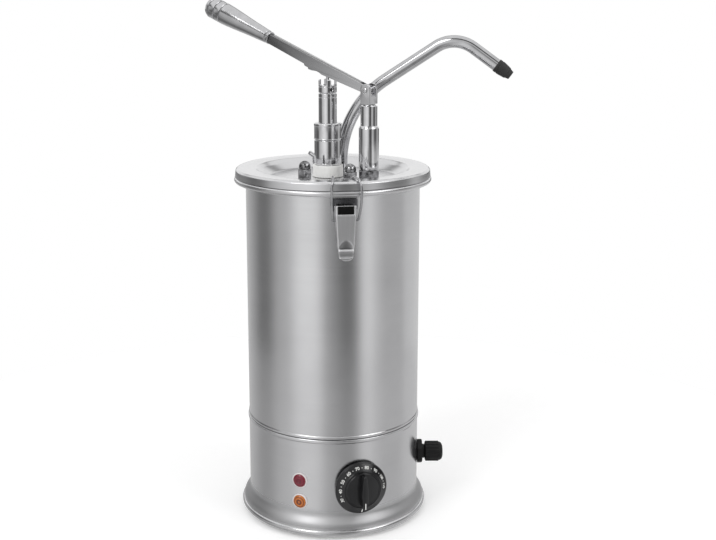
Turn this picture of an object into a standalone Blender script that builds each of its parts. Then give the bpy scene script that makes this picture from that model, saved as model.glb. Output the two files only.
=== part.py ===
"""Countertop warmer for hot fudge topping: a heated round pot with a lever pump in its lid.

The origin lies on the vessel's upright axis, at the height the rubber feet stand on.
The front, where the lamps and the knob are, faces -Y. All sizes are in metres.
"""
import math

import bpy
import bmesh
from mathutils import Vector

# Gaps and overruns
touch_gap = 0.0003
cut_overrun = 0.004
weld_distance = 0.00001

# Roundness
large_steps = 36
middle_steps = 20
small_steps = 14
tiny_steps = 8
fillet_steps = 2
fillet_limit_share = 0.49
hex_sides = 6

# Sheet metal
sheet = 0.0010
heavy_sheet = 0.0012
fold_round = 0.0012

# Vessel
body_radius = 0.0900
base_height = 0.1050
jacket_height = 0.2412

# Base housing
base_step = 0.0002
base_lip_reach = 0.0010
base_lip_height = 0.0030
base_ledge_width = 0.0102
flange_reach = 0.0085
flange_bead_radius = 0.0030
flange_lift = 0.0043
flare_neck = 0.0018
flare_height = 0.0140
flare_steps = 4
bead_steps = 6
curl_start = math.radians(72)

# Bottom cover and feet
cover_gap = 0.0007
cover_rise = 0.0070
vent_count = 12
vent_inner_radius = 0.0370
vent_length = 0.0220
vent_width = 0.0042
foot_count = 4
foot_height = 0.0030
foot_inset = 0.0180
foot_radius = 0.0090
foot_taper = 0.0015
foot_taper_share = 0.5
foot_first_angle = math.radians(45)

# Jacket
jacket_ledge_width = 0.0040
jacket_lip_reach = 0.0011
jacket_lip_height = 0.0030
neck_reach = 0.0058
neck_round = 0.0046
jacket_rim_inset = 0.0006

# Pot
pot_gap = 0.0060
pot_lift = 0.0060
pot_corner = 0.0120
pot_corner_steps = 3
pot_mouth_round = 0.0020
rim_reach = 0.0094
rim_rise = 0.0105
rim_bead_radius = 0.0032

# Lid
lid_gap = 0.0004
lid_height = 0.0083
lid_inset = 0.0010
lid_dish_depth = 0.0103
lid_band_width = 0.0238
lid_band_fall = 0.0007
lid_slope_run = 0.0140
lid_floor_round = 0.0080
lid_band_round = 0.0250
lid_edge_round = 0.0052

# Lid gasket
gasket_offset = 0.0030
gasket_width = 0.0075
gasket_round = 0.0020

# Heater
plate_thickness = 0.0050
plate_rim_step = 0.0015
element_ring_radius = 0.0520
element_tube_radius = 0.0034
element_open_angle = math.radians(34)
element_leg_length = 0.0060
element_points = 20
shield_drop = 0.0144
shield_gap = 0.0010
shield_flange = 0.0040

# Thermostat and knob
knob_azimuth = math.radians(17.5)
knob_clearance = 0.00035
knob_standoff = 0.0016
knob_face_radius = 0.0192
knob_scale_step = 0.0013
knob_skirt_width = 0.0067
knob_skirt_depth = 0.0020
knob_cone_depth = 0.0050
knob_face_rise = 0.0014
knob_ridge_rise = 0.0085
knob_ridge_width = 0.0062
knob_ridge_share = 0.94
knob_turn_round = 0.0010
shaft_radius = 0.0030
shaft_flat_share = 0.55
shaft_tail = 0.0130
shaft_cover = 0.0010
bushing_radius = 0.0050
thermostat_width = 0.0320
thermostat_height = 0.0260
thermostat_depth = 0.0200
thermostat_setback = 0.0060

# Lamps
lamp_azimuth = math.radians(-22.0)
lamp_clearance = 0.00335
lamp_spacing = 0.0226
lamp_radius = 0.0073
lamp_depth = 0.0034
lamp_seat = 0.0006
lamp_crown_shares = (0.62, 0.94)
lamp_shoulder_share = 0.55
lamp_round_share = 0.40
lamp_body_inset = 0.0015
lamp_body_depth = 0.0240

# Cord gland
gland_height = 0.0563
gland_thread_radius = 0.0098
gland_thread_depth = 0.0110
gland_hex_margin = 0.0021
gland_flange_depth = 0.0050
gland_neck_radius = 0.0076
gland_neck_depth = 0.0024
gland_stub_inset = 0.0014
gland_stub_depth = 0.0090
gland_bore_radius = 0.0036
gland_mouth_step = 0.0022
gland_cap_wall = 0.00425
gland_cap_depth = 0.0196
gland_crown_share = 0.12
gland_round_share = 0.35
locknut_depth = 0.0045

# Terminal block
terminal_left = 0.0300
terminal_back = 0.0250
terminal_length = 0.0400
terminal_width = 0.0200
terminal_height = 0.0150
terminal_well_radius = 0.0030
terminal_well_depth = 0.0060
terminal_ways = 3

# Mount plate under the lid, with its studs
plate_margin = 0.0058
mount_plate_thickness = 0.0034
stud_radius = 0.0037
stud_engage = 0.0126

# Acorn nuts: each place is (share of the plate's radius, azimuth), and the other nut stands by the post
nut_flats = 0.0130
nut_washer_margin = 0.0001
nut_washer_height = 0.0014
nut_tall_height = 0.0120
nut_short_height = 0.0082
nut_dome_height = 0.0082
nut_dome_radius = 0.0060
nut_dome_steps = 3
nut_waist_share = 0.90
left_nut_reach_share = 0.828
left_nut_azimuth = math.radians(-125.5)
rear_nut_reach_share = 0.595
rear_nut_azimuth = math.radians(106.9)
post_side_nut_azimuth = math.radians(194.9)

# Pump cylinder, collar, sleeve and cap
barrel_x = -0.0050
barrel_y = 0.0
plunger_radius = 0.0093
plunger_gap = 0.0003
neck_wall = 0.0024
neck_engage = 0.0132
cylinder_step = 0.0030
cylinder_wall = 0.0015
cylinder_shoulder = 0.0030
collar_wall = 0.00455
collar_height = 0.0079
sleeve_wall = 0.00155
sleeve_length = 0.0278
cap_step = 0.00035
cap_length = 0.0189
cap_chamfer = 0.0009
groove_depth = 0.0009
groove_width = 0.0008

# Pump foot
pump_foot_lift = 0.0020
pump_foot_height = 0.0137
pump_foot_margin = 0.0025
foot_inlet_radius = 0.0040

# Plunger
plunger_engage = 0.0052
tappet_radius = 0.0016
tappet_length = 0.0093
head_slot_depth = 0.0062
head_slot_gap = 0.0007
head_base = 0.0077
head_wall = 0.0030
head_step = 0.0004
head_screw_radius = 0.0013
head_screw_depth = 0.0016
head_screw_rise = 0.0037
head_screw_azimuth = math.radians(-64)
rod_radius = 0.0040
rod_collar_drop = 0.0443
rod_collar_thickness = 0.0030
stroke_room = 0.0440
piston_length = 0.0140
piston_gap = 0.0005
seal_depth = 0.0022
seal_width = 0.0040

# Return spring
spring_seat_rise = 0.0260
spring_seat_thickness = 0.0030
spring_seat_gap = 0.0010
spring_rod_gap = 0.0026
spring_wire = 0.0008
spring_turns = 6
spring_points = 8

# Discharge pipe and spout
pipe_radius = 0.00635
pipe_wall = 0.00155
pipe_sides = 12
pipe_offset_gap = 0.0012
pipe_azimuth = math.radians(54.2)
spout_azimuth = math.radians(-12.0)
spout_stand_height = 0.0133
spout_first_bend_radius = 0.1017
spout_rise_angle = math.radians(33.2)
spout_straight_length = 0.0621
spout_second_bend_radius = 0.0333
spout_fall_angle = math.radians(35.7)
spout_outlet_length = 0.0320
bend_points = 7
nozzle_wall = 0.00035
nozzle_tip_radius = 0.0050
nozzle_bore = 0.0030
nozzle_length = 0.0150
nozzle_cap_depth = 0.0030
nozzle_round = 0.0018
nozzle_shoulder_share = 0.35

# Lever post
post_edge_gap = 0.0055
post_azimuth = math.radians(-39.0)
post_nut_flats = 0.0198
post_nut_height = 0.0111
post_lower_radius = 0.0101
post_lower_length = 0.0418
post_step_length = 0.0016
post_upper_radius = 0.0084
post_upper_length = 0.0220
post_stud_radius = 0.0050
post_stud_below = 0.0026

# Clevis
pivot_rise = 0.0140
pivot_pin_radius = 0.0025
clevis_length = 0.0108
clevis_ear = 0.0029
clevis_side_gap = 0.0004
clevis_floor_gap = 0.0022
clevis_top = 0.0062
clevis_round = 0.0036

# Lever: its lower edge is a table of shares of its length and of its depth
lever_rest_angle = math.radians(21.6)
lever_length = 0.1330
lever_depth = 0.0099
lever_width = 0.0082
lever_wall = 0.0012
lever_top = 0.0034
lever_nose = 0.0044
lever_nose_steps = 5
lever_slot_reach = 0.0110
lever_reach_shares = (0.057, 0.429, 0.451, 0.481, 0.523, 0.558, 0.565, 0.602, 0.611, 1.0)
lever_depth_shares = (0.475, 0.848, 0.788, 0.778, 0.950, 1.0, 0.869, 0.848, 0.697, 0.616)
push_pin_offset = 0.00056
push_pin_depth = 0.0055
push_pin_radius = 0.0016

# Grip
grip_length = 0.0915
grip_drop = 0.0010
grip_neck_radius = 0.0067
grip_ring_length = 0.0011
grip_ring_depth = 0.0010
grip_waist_share = 0.28
grip_waist_radius = 0.0083
grip_head_radius = 0.0114
grip_end_length = 0.0064
grip_end_inset_shares = (0.482, 0.123, 0.018)
grip_end_back_shares = (0.0, 0.4375, 1.0)
grip_groove_count = 3
grip_groove_pitch = 0.0085
grip_groove_width = 0.0012
grip_groove_depth = 0.0007

# Toggle latches
latch_azimuth = math.radians(7.5)
latch_stand = 0.0063
latch_seat = 0.0007
latch_pivot_drop = 0.0050
latch_pin_radius = 0.0015
latch_cheek_wall = 0.0006
latch_base_half = 0.0068
latch_base_drop = 0.0292
latch_base_inset = 0.0004
latch_cheek_root = 0.0076
latch_arm = 0.0112
latch_over_centre = math.radians(6)
latch_flange_depth = 0.0077
latch_side_depth = 0.0060
latch_side_top = 0.0012
latch_side_gap = 0.0028
latch_taper = 0.0009
latch_top_rise = 0.0040
latch_fold_drop = 0.0457
latch_tab_length = 0.0085
latch_tab_lift = 0.0042
latch_tab_half = 0.0072
latch_tab_taper_share = 0.75
latch_window_half = 0.0070
latch_window_top = 0.0016
latch_window_foot = 0.0064
latch_window_frame = 0.0014
latch_frame_lift = 0.0008

# Wire bails
bail_wire = 0.0012
bail_clear = 0.00035
bail_hook_inset = 0.0016
bail_ear_gap = 0.0008
bail_side_spread = 0.0018
bail_half_top = 0.0100
bail_rim_gap = 0.0002
bail_shoulder_rise = 0.0068
bail_bend_drop = 0.0046
bail_over_gap = 0.0006
bail_over_inset = 0.0025
bail_band_overlap = 0.0008
bail_bar_inset = 0.0082
bail_bar_drop = 0.0031
bail_corner = 0.0032
bail_corner_steps = 2

# Colours
steel_colour = (0.60, 0.60, 0.60)
satin_colour = (0.55, 0.55, 0.56)
dark_colour = (0.02, 0.02, 0.02)
white_colour = (0.86, 0.86, 0.84)
red_colour = (0.36, 0.02, 0.05)
amber_colour = (0.75, 0.22, 0.04)
aluminium_colour = (0.66, 0.66, 0.67)
spring_colour = (0.40, 0.40, 0.41)
ceramic_colour = (0.82, 0.80, 0.74)
rubber_colour = (0.03, 0.03, 0.03)
silicone_colour = (0.70, 0.70, 0.68)
opaque = 1.0

# Directions in a piece's own frame
upright = (math.pi / 2, 0.0, 0.0)
sideways = (0.0, math.pi / 2, 0.0)
facing_out = (math.pi / 2, 0.0, math.pi / 2)

# Base: what follows from the sizes above
base_radius = body_radius + base_step
base_top = base_height - touch_gap * 2
base_ledge_radius = base_radius - base_ledge_width
flange_radius = base_radius + flange_reach
flange_bead_centre = flange_radius - flange_bead_radius
flange_bead_height = flange_lift + flange_bead_radius
flare_reach = flange_reach - flange_bead_radius * (1 - math.cos(curl_start))
flare_foot = flange_bead_height + flange_bead_radius * math.sin(curl_start) + flare_neck
flare_top = flare_foot + flare_height
cover_radius = flange_bead_centre - flange_bead_radius - cover_gap
cover_floor = foot_height + heavy_sheet

# Vessel: the jacket carries the pot's rolled bead
jacket_top = base_height + jacket_height
pot_radius = body_radius - pot_gap
pot_underside = base_height + pot_lift
pot_floor = pot_underside + sheet
rim_bead_centre = body_radius + rim_reach
rim_bead_height = jacket_top + rim_rise
rim_radius = rim_bead_centre + rim_bead_radius
brim_height = rim_bead_height + rim_bead_radius
jacket_rim_height = rim_bead_height - rim_bead_radius - touch_gap - sheet

# Lid: what follows from the pot's rim
lid_radius = rim_radius - lid_inset
lid_skirt_foot = brim_height + lid_gap
lid_crown = lid_skirt_foot + lid_height
lid_floor = lid_crown - lid_dish_depth
lid_underside = lid_floor - sheet
lid_band_radius = lid_radius - lid_band_width
lid_floor_radius = lid_band_radius - lid_slope_run
mount_plate_radius = lid_floor_radius - plate_margin
mount_top = lid_underside - touch_gap
mount_foot = mount_top - mount_plate_thickness
nut_seat = lid_floor + touch_gap
stud_top = nut_seat + stud_engage

# Knob and lamps stand just above the flare
knob_skirt_radius = knob_face_radius + knob_scale_step + knob_skirt_width
knob_height = flare_top + knob_skirt_radius + knob_clearance
lamp_height = flare_top + lamp_radius + lamp_clearance

# Places on the lid
post_nut_corner = post_nut_flats / math.sqrt(3)
post_reach = lid_floor_radius - post_nut_corner - post_edge_gap
post_x = post_reach * math.cos(post_azimuth)
post_y = post_reach * math.sin(post_azimuth)
neck_radius = plunger_radius + plunger_gap + neck_wall
collar_radius = neck_radius + touch_gap + collar_wall
pipe_offset = collar_radius + pipe_radius + pipe_offset_gap
pipe_x = barrel_x + pipe_offset * math.cos(pipe_azimuth)
pipe_y = barrel_y + pipe_offset * math.sin(pipe_azimuth)
nut_washer_radius = nut_flats / math.sqrt(3) + nut_washer_margin
side_nut_reach = post_nut_corner + nut_washer_radius + touch_gap
nut_places = (
    (mount_plate_radius * left_nut_reach_share * math.cos(left_nut_azimuth),
     mount_plate_radius * left_nut_reach_share * math.sin(left_nut_azimuth)),
    (post_x + side_nut_reach * math.cos(post_side_nut_azimuth),
     post_y + side_nut_reach * math.sin(post_side_nut_azimuth)),
    (mount_plate_radius * rear_nut_reach_share * math.cos(rear_nut_azimuth),
     mount_plate_radius * rear_nut_reach_share * math.sin(rear_nut_azimuth)),
)
nut_hex_heights = (nut_tall_height, nut_short_height, nut_tall_height)

# Pump stack, from the lid upwards and from the pot's floor upwards
plunger_bore = plunger_radius + plunger_gap
cylinder_radius = neck_radius + cylinder_step
cylinder_bore = cylinder_radius - cylinder_wall
cylinder_top = mount_foot - touch_gap
collar_top = nut_seat + collar_height
sleeve_foot = collar_top + touch_gap
sleeve_radius = neck_radius + touch_gap + sleeve_wall
sleeve_top = sleeve_foot + sleeve_length
neck_top = sleeve_foot + neck_engage
cap_foot = sleeve_top + touch_gap
cap_radius = sleeve_radius + cap_step
cap_top = cap_foot + cap_length
pump_foot_base = pot_floor + pump_foot_lift
pump_foot_top = pump_foot_base + pump_foot_height
cylinder_foot = pump_foot_top + touch_gap
piston_radius = cylinder_bore - piston_gap
piston_top = cylinder_foot + stroke_room + piston_length
spring_radius = rod_radius + spring_rod_gap + spring_wire
rod_collar_radius = spring_radius + spring_wire * 2
rod_collar_top = cylinder_top - cylinder_shoulder - rod_collar_drop
spring_seat_foot = piston_top + spring_seat_rise
pipe_bore = pipe_radius - pipe_wall

# Lever linkage: the push pin stands over the plunger's tappet
post_nut_top = nut_seat + post_nut_height
post_foot = post_nut_top + touch_gap
post_shoulder = post_foot + post_lower_length
post_neck = post_shoulder + post_step_length
post_top = post_neck + post_upper_length
pivot_height = post_top + touch_gap + pivot_rise
lever_heading = math.atan2(barrel_y - post_y, barrel_x - post_x)
push_pin_reach = math.hypot(barrel_x - post_x, barrel_y - post_y) + push_pin_offset
push_pin_height = (pivot_height + push_pin_reach * math.sin(lever_rest_angle)
                   - push_pin_depth * math.cos(lever_rest_angle))
tappet_top = push_pin_height - push_pin_radius - touch_gap
head_slot_floor = tappet_top - tappet_length - touch_gap
head_top = head_slot_floor + head_slot_depth
head_foot = head_slot_floor - head_base
plunger_top = head_foot - touch_gap
plunger_foot = sleeve_foot + plunger_engage

# Latches and bails
latch_pivot_radius = body_radius + latch_stand
latch_pivot_height = jacket_top - latch_pivot_drop
latch_back = body_radius + latch_seat
latch_cheek_radius = latch_pin_radius + touch_gap + latch_cheek_wall
latch_face = latch_cheek_radius + touch_gap + heavy_sheet
latch_half_top = latch_base_half + heavy_sheet + latch_side_gap
latch_half_foot = latch_half_top - latch_taper
bail_half_foot = latch_half_top + bail_wire + bail_ear_gap
bail_half_side = bail_half_foot + bail_side_spread
bail_side_radius = rim_radius + bail_wire + bail_rim_gap


def clear_scene():
    for thing in list(bpy.data.objects):
        bpy.data.objects.remove(thing, do_unlink=True)


def finish(name, colour, metallic, roughness):
    material = bpy.data.materials.new(name)
    material.use_nodes = True
    shader = material.node_tree.nodes["Principled BSDF"]
    shader.inputs["Base Color"].default_value = (*colour, opaque)
    shader.inputs["Metallic"].default_value = metallic
    shader.inputs["Roughness"].default_value = roughness
    return material


def frame(name, place=(0.0, 0.0, 0.0), turn=(0.0, 0.0, 0.0), parent=None):
    """An empty that carries the pieces of one assembly or one moving body."""
    empty = bpy.data.objects.new(name, None)
    empty.location = place
    empty.rotation_euler = turn
    empty.parent = parent
    bpy.context.scene.collection.objects.link(empty)
    return empty


def add_object(name, data, material=None, place=(0.0, 0.0, 0.0), turn=(0.0, 0.0, 0.0), parent=None):
    thing = bpy.data.objects.new(name, data)
    bpy.context.scene.collection.objects.link(thing)
    thing.location = place
    thing.rotation_euler = turn
    thing.parent = parent
    if material is not None:
        data.materials.append(material)
    return thing


def mark_cutter(thing):
    thing.hide_render = True
    thing.display_type = 'WIRE'
    return thing


def arc(centre, radius, start, end, steps):
    """Points on an arc in a section, from one angle to another."""
    points = []
    for step in range(steps + 1):
        angle = start + (end - start) * step / steps
        points.append((centre[0] + radius * math.cos(angle), centre[1] + radius * math.sin(angle)))
    return points


def rounded(corners, steps=fillet_steps, closed=True):
    """A section outline with filleted corners, each given as (x, y, radius)."""
    points = []
    last = len(corners) - 1
    for index, corner in enumerate(corners):
        here = Vector(corner[:2])
        if corner[2] <= 0.0 or (not closed and index in (0, last)):
            points.append(tuple(here))
            continue
        before = Vector(corners[index - 1][:2]) - here
        after = Vector(corners[(index + 1) % len(corners)][:2]) - here
        longest = min(before.length, after.length) * fillet_limit_share
        reach = min(corner[2] / math.tan(before.angle(after) / 2), longest)
        start = here + before.normalized() * reach
        end = here + after.normalized() * reach
        for step in range(steps + 1):
            share = step / steps
            points.append(tuple(start.lerp(here, share).lerp(here.lerp(end, share), share)))
    return points


def inner_line(line, thickness):
    """The inside of a bent sheet: its outer line moved to the right of its run, with mitred corners."""
    moved = []
    for index, point in enumerate(line):
        here = Vector(point)
        back = (here - Vector(line[index - 1])).normalized() if index > 0 else None
        ahead = (Vector(line[index + 1]) - here).normalized() if index < len(line) - 1 else back
        back = ahead if back is None else back
        along = (back + ahead).normalized()
        depth = thickness / along.dot(ahead)
        moved.append((here.x + along.y * depth, here.y - along.x * depth))
    return moved


def height_at(line, radius):
    """The height of a section line at a given radius."""
    for (first, low), (second, high) in zip(line, line[1:]):
        if min(first, second) <= radius <= max(first, second) and first != second:
            return low + (high - low) * (radius - first) / (second - first)
    return line[-1][1]


def turned(name, section, material, steps=middle_steps, closed=True,
           place=(0.0, 0.0, 0.0), turn=(0.0, 0.0, 0.0), parent=None):
    """A turned piece: a section at +X, running down its outer side, spun round Z."""
    mesh = bpy.data.meshes.new(name)
    builder = bmesh.new()
    corners = [builder.verts.new((radius, 0.0, height)) for radius, height in section]
    for first, second in zip(corners, corners[1:]):
        builder.edges.new((first, second))
    if closed:
        builder.edges.new((corners[-1], corners[0]))
    builder.to_mesh(mesh)
    builder.free()
    thing = add_object(name, mesh, material, place, turn, parent)
    screw = thing.modifiers.new("Turn", 'SCREW')
    screw.axis = 'Z'
    screw.steps = steps
    screw.render_steps = steps
    screw.use_merge_vertices = True
    screw.merge_threshold = weld_distance
    screw.use_smooth_shade = True
    return thing


def prisms(name, outlines, low, high, material=None, place=(0.0, 0.0, 0.0), turn=(0.0, 0.0, 0.0),
           parent=None):
    """Outlines in local XY, each extruded from one height to another."""
    mesh = bpy.data.meshes.new(name)
    builder = bmesh.new()
    for outline in outlines:
        base = builder.faces.new([builder.verts.new((x, y, low)) for x, y in outline])
        grown = bmesh.ops.extrude_face_region(builder, geom=[base])
        risen = [item for item in grown["geom"] if isinstance(item, bmesh.types.BMVert)]
        bmesh.ops.translate(builder, verts=risen, vec=(0.0, 0.0, high - low))
    bmesh.ops.recalc_face_normals(builder, faces=builder.faces)
    builder.to_mesh(mesh)
    builder.free()
    return add_object(name, mesh, material, place, turn, parent)


def prism(name, outline, low, high, material=None, **placing):
    return prisms(name, [outline], low, high, material, **placing)


def block(name, low, high, material=None, edge=0.0, **placing):
    """A rectangular piece between two corners, with its edges eased if asked."""
    outline = [(low[0], low[1]), (high[0], low[1]), (high[0], high[1]), (low[0], high[1])]
    thing = prism(name, outline, low[2], high[2], material, **placing)
    if edge > 0.0:
        ease = thing.modifiers.new("Eased edges", 'BEVEL')
        ease.width = edge
        ease.segments = 1
    return thing


def polygon(sides, radius, start=0.0):
    return [(radius * math.cos(start + math.tau * side / sides),
             radius * math.sin(start + math.tau * side / sides)) for side in range(sides)]


def hexagon(flats, start=0.0):
    return polygon(hex_sides, flats / math.sqrt(3), start)


def shifted(outline, across, along):
    return [(x + across, y + along) for x, y in outline]


def flatted(outline, highest):
    """A round outline with a flat cut along one side."""
    return [(x, min(y, highest)) for x, y in outline]


def bar(name, radius, low, high, material=None, steps=small_steps, **placing):
    """A plain round bar along local Z."""
    section = [(0.0, high), (radius, high), (radius, low), (0.0, low)]
    return turned(name, section, material, steps, False, **placing)


def bar_across(name, radius, low, high, material=None, steps=small_steps, place=(0.0, 0.0, 0.0),
               parent=None):
    """A plain round bar along local Y."""
    return bar(name, radius, low, high, material, steps, place=place, turn=(-math.pi / 2, 0.0, 0.0),
               parent=parent)


def combine(thing, other, operation):
    step = thing.modifiers.new(operation.title() + " " + other.name, 'BOOLEAN')
    step.operation = operation
    step.solver = 'EXACT'
    step.object = mark_cutter(other)
    return thing


def cut(thing, other):
    return combine(thing, other, 'DIFFERENCE')


def join(thing, other):
    return combine(thing, other, 'UNION')


def smooth_route(points, radius, steps):
    """A route in space whose inner corners are rounded."""
    route = [Vector(points[0])]
    for before, here, after in zip(points, points[1:], points[2:]):
        here = Vector(here)
        back = Vector(before) - here
        ahead = Vector(after) - here
        reach = min(radius, min(back.length, ahead.length) * fillet_limit_share)
        start = here + back.normalized() * reach
        end = here + ahead.normalized() * reach
        for step in range(steps + 1):
            share = step / steps
            route.append(start.lerp(here, share).lerp(here.lerp(end, share), share))
    route.append(Vector(points[-1]))
    return route


def wire(name, route, radius, material, resolution=1, parent=None):
    """A bent wire or bar: a curve with a round section and filled ends."""
    curve = bpy.data.curves.new(name, 'CURVE')
    curve.dimensions = '3D'
    curve.bevel_depth = radius
    curve.bevel_resolution = resolution
    curve.use_fill_caps = True
    curve.resolution_u = 1
    curve.render_resolution_u = 0
    spline = curve.splines.new('POLY')
    spline.points.add(len(route) - 1)
    for knot, point in zip(spline.points, route):
        knot.co = (*point, 1.0)
    spline.use_smooth = True
    return add_object(name, curve, material, parent=parent)


def pipe(name, route, across, material, parent=None):
    """A hollow pipe swept along a route in the plane that is square to the given direction."""
    builder = bmesh.new()
    rings = []
    for index, point in enumerate(route):
        along = (route[min(index + 1, len(route) - 1)] - route[max(index - 1, 0)]).normalized()
        upward = along.cross(across).normalized()
        pair = []
        for size in (pipe_radius, pipe_bore):
            corners = [point + (across * x + upward * y) for x, y in polygon(pipe_sides, size)]
            pair.append([builder.verts.new(corner) for corner in corners])
        rings.append(pair)
    for side in range(pipe_sides):
        following = (side + 1) % pipe_sides
        for first, second in zip(rings, rings[1:]):
            builder.faces.new((first[0][side], first[0][following], second[0][following], second[0][side]))
            builder.faces.new((first[1][side], second[1][side], second[1][following], first[1][following]))
        for ends in (rings[0], rings[-1]):
            builder.faces.new((ends[0][side], ends[1][side], ends[1][following], ends[0][following]))
    bmesh.ops.recalc_face_normals(builder, faces=builder.faces)
    mesh = bpy.data.meshes.new(name)
    builder.to_mesh(mesh)
    builder.free()
    mesh.shade_smooth()
    return add_object(name, mesh, material, parent=parent)


def side_frame(name, azimuth, height):
    """An empty on the base's side, local Z pointing straight out and local Y pointing up."""
    heading = azimuth - math.pi / 2
    spot = (base_radius * math.cos(heading), base_radius * math.sin(heading), height)
    return frame(name, spot, (math.pi / 2, 0.0, heading + math.pi / 2), vessel)


def make_base_housing():
    """A spun shell with a turned-in top ledge and a flared foot that ends in a rolled bead."""
    lip_radius = base_radius + base_lip_reach
    flare = []
    for step in range(flare_steps + 1):
        share = step / flare_steps
        widen = flare_reach * (1 - math.cos(math.pi * share)) / 2
        flare.append((base_radius + widen, flare_top - flare_height * share))
    section = [
        (base_ledge_radius, base_top),
        (lip_radius - fold_round, base_top),
        (lip_radius, base_top - fold_round),
        (lip_radius, base_top - base_lip_height),
        (base_radius, base_top - base_lip_height - sheet),
    ]
    section += flare
    section += arc((flange_bead_centre, flange_bead_height), flange_bead_radius, curl_start, -math.pi,
                   bead_steps)
    section += [(radius - sheet, height) for radius, height in reversed(flare[::2])]
    section += [(base_radius - sheet, base_top - sheet), (base_ledge_radius, base_top - sheet)]
    return turned("base_housing", section, satin, large_steps, parent=vessel)


def make_bottom_cover():
    """A pressed disc with a short upstand and a ring of vent slots, on four rubber feet."""
    section = [
        (0.0, cover_floor),
        (cover_radius - heavy_sheet, cover_floor),
        (cover_radius - heavy_sheet, foot_height + cover_rise),
        (cover_radius, foot_height + cover_rise),
        (cover_radius, foot_height + fold_round),
        (cover_radius - fold_round, foot_height),
        (0.0, foot_height),
    ]
    cover = turned("bottom_cover", section, satin, large_steps, False, parent=vessel)
    slots = []
    for number in range(vent_count):
        angle = math.tau * (number + 0.5) / vent_count
        along = Vector((math.cos(angle), math.sin(angle)))
        across = Vector((-along.y, along.x)) * vent_width / 2
        near = along * vent_inner_radius
        far = along * (vent_inner_radius + vent_length)
        slots.append([tuple(near - across), tuple(far - across), tuple(far + across), tuple(near + across)])
    cut(cover, prisms("vent_cutter", slots, foot_height - cut_overrun, cover_floor + cut_overrun,
                      parent=vessel))
    foot_top = foot_height - touch_gap
    foot_section = [
        (0.0, foot_top),
        (foot_radius, foot_top),
        (foot_radius, foot_top * foot_taper_share),
        (foot_radius - foot_taper, 0.0),
        (0.0, 0.0),
    ]
    ring = cover_radius - foot_inset
    for number in range(foot_count):
        angle = foot_first_angle + math.tau * number / foot_count
        turned("foot_%d" % (number + 1), foot_section, black_rubber, small_steps, False,
               (ring * math.cos(angle), ring * math.sin(angle), 0.0), parent=vessel)


def make_jacket():
    """The tall shell round the pot: a turned-in ledge below, and a neck and flange under the pot's bead."""
    outer = rounded([
        (rim_bead_centre - jacket_rim_inset, jacket_rim_height, 0.0),
        (body_radius + neck_reach, jacket_rim_height, 0.0),
        (body_radius, jacket_top, neck_round),
        (body_radius, base_height + jacket_lip_height, 0.0),
    ], closed=False)
    foot = [
        (body_radius + jacket_lip_reach, base_height + jacket_lip_height / 2),
        (body_radius, base_height),
        (body_radius - jacket_ledge_width, base_height),
        (body_radius - jacket_ledge_width, base_height + sheet),
        (body_radius - sheet, base_height + sheet),
    ]
    inner = inner_line(outer, sheet)[:-1]
    turned("outer_jacket", outer + foot + inner[::-1], satin, large_steps, parent=vessel)


def make_pot():
    """A drawn pan with a rounded corner, a flat brim and a rolled bead at its edge."""
    inside = pot_radius - sheet
    section = rounded([
        (0.0, pot_floor, 0.0),
        (inside, pot_floor, pot_corner),
        (inside, brim_height, pot_mouth_round),
        (rim_bead_centre, brim_height, 0.0),
    ], pot_corner_steps, closed=False)
    section += arc((rim_bead_centre, rim_bead_height), rim_bead_radius, math.pi / 2, -math.pi, bead_steps)[1:]
    section += rounded([
        (rim_bead_centre - rim_bead_radius, brim_height - sheet, 0.0),
        (pot_radius, brim_height - sheet, pot_mouth_round - sheet),
        (pot_radius, pot_underside, pot_corner + sheet),
        (0.0, pot_underside, 0.0),
    ], pot_corner_steps, closed=False)
    turned("inner_pot", section, satin, large_steps, False, parent=vessel)


def make_lid():
    """A broad band round a dished floor, with a short skirt over the pot's bead, and its gasket."""
    outer = rounded([
        (0.0, lid_floor, 0.0),
        (lid_floor_radius, lid_floor, lid_floor_round),
        (lid_band_radius, lid_crown - lid_band_fall, lid_band_round),
        (lid_radius, lid_crown, lid_edge_round),
        (lid_radius, lid_skirt_foot, 0.0),
    ], closed=False)
    inner = inner_line(outer, sheet)
    lid = turned("lid", outer + inner[::-1], satin, large_steps, False, parent=vessel)
    gasket_inner = pot_radius + gasket_offset
    gasket_outer = gasket_inner + gasket_width
    gasket_low = brim_height + touch_gap
    gasket_high = min(height_at(inner, gasket_inner), height_at(inner, gasket_outer)) - touch_gap
    section = rounded([
        (gasket_outer, gasket_high, gasket_round),
        (gasket_outer, gasket_low, gasket_round),
        (gasket_inner, gasket_low, 0.0),
        (gasket_inner, gasket_high, 0.0),
    ], steps=1)
    turned("lid_gasket", section, silicone, large_steps, parent=vessel)
    return lid


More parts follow.
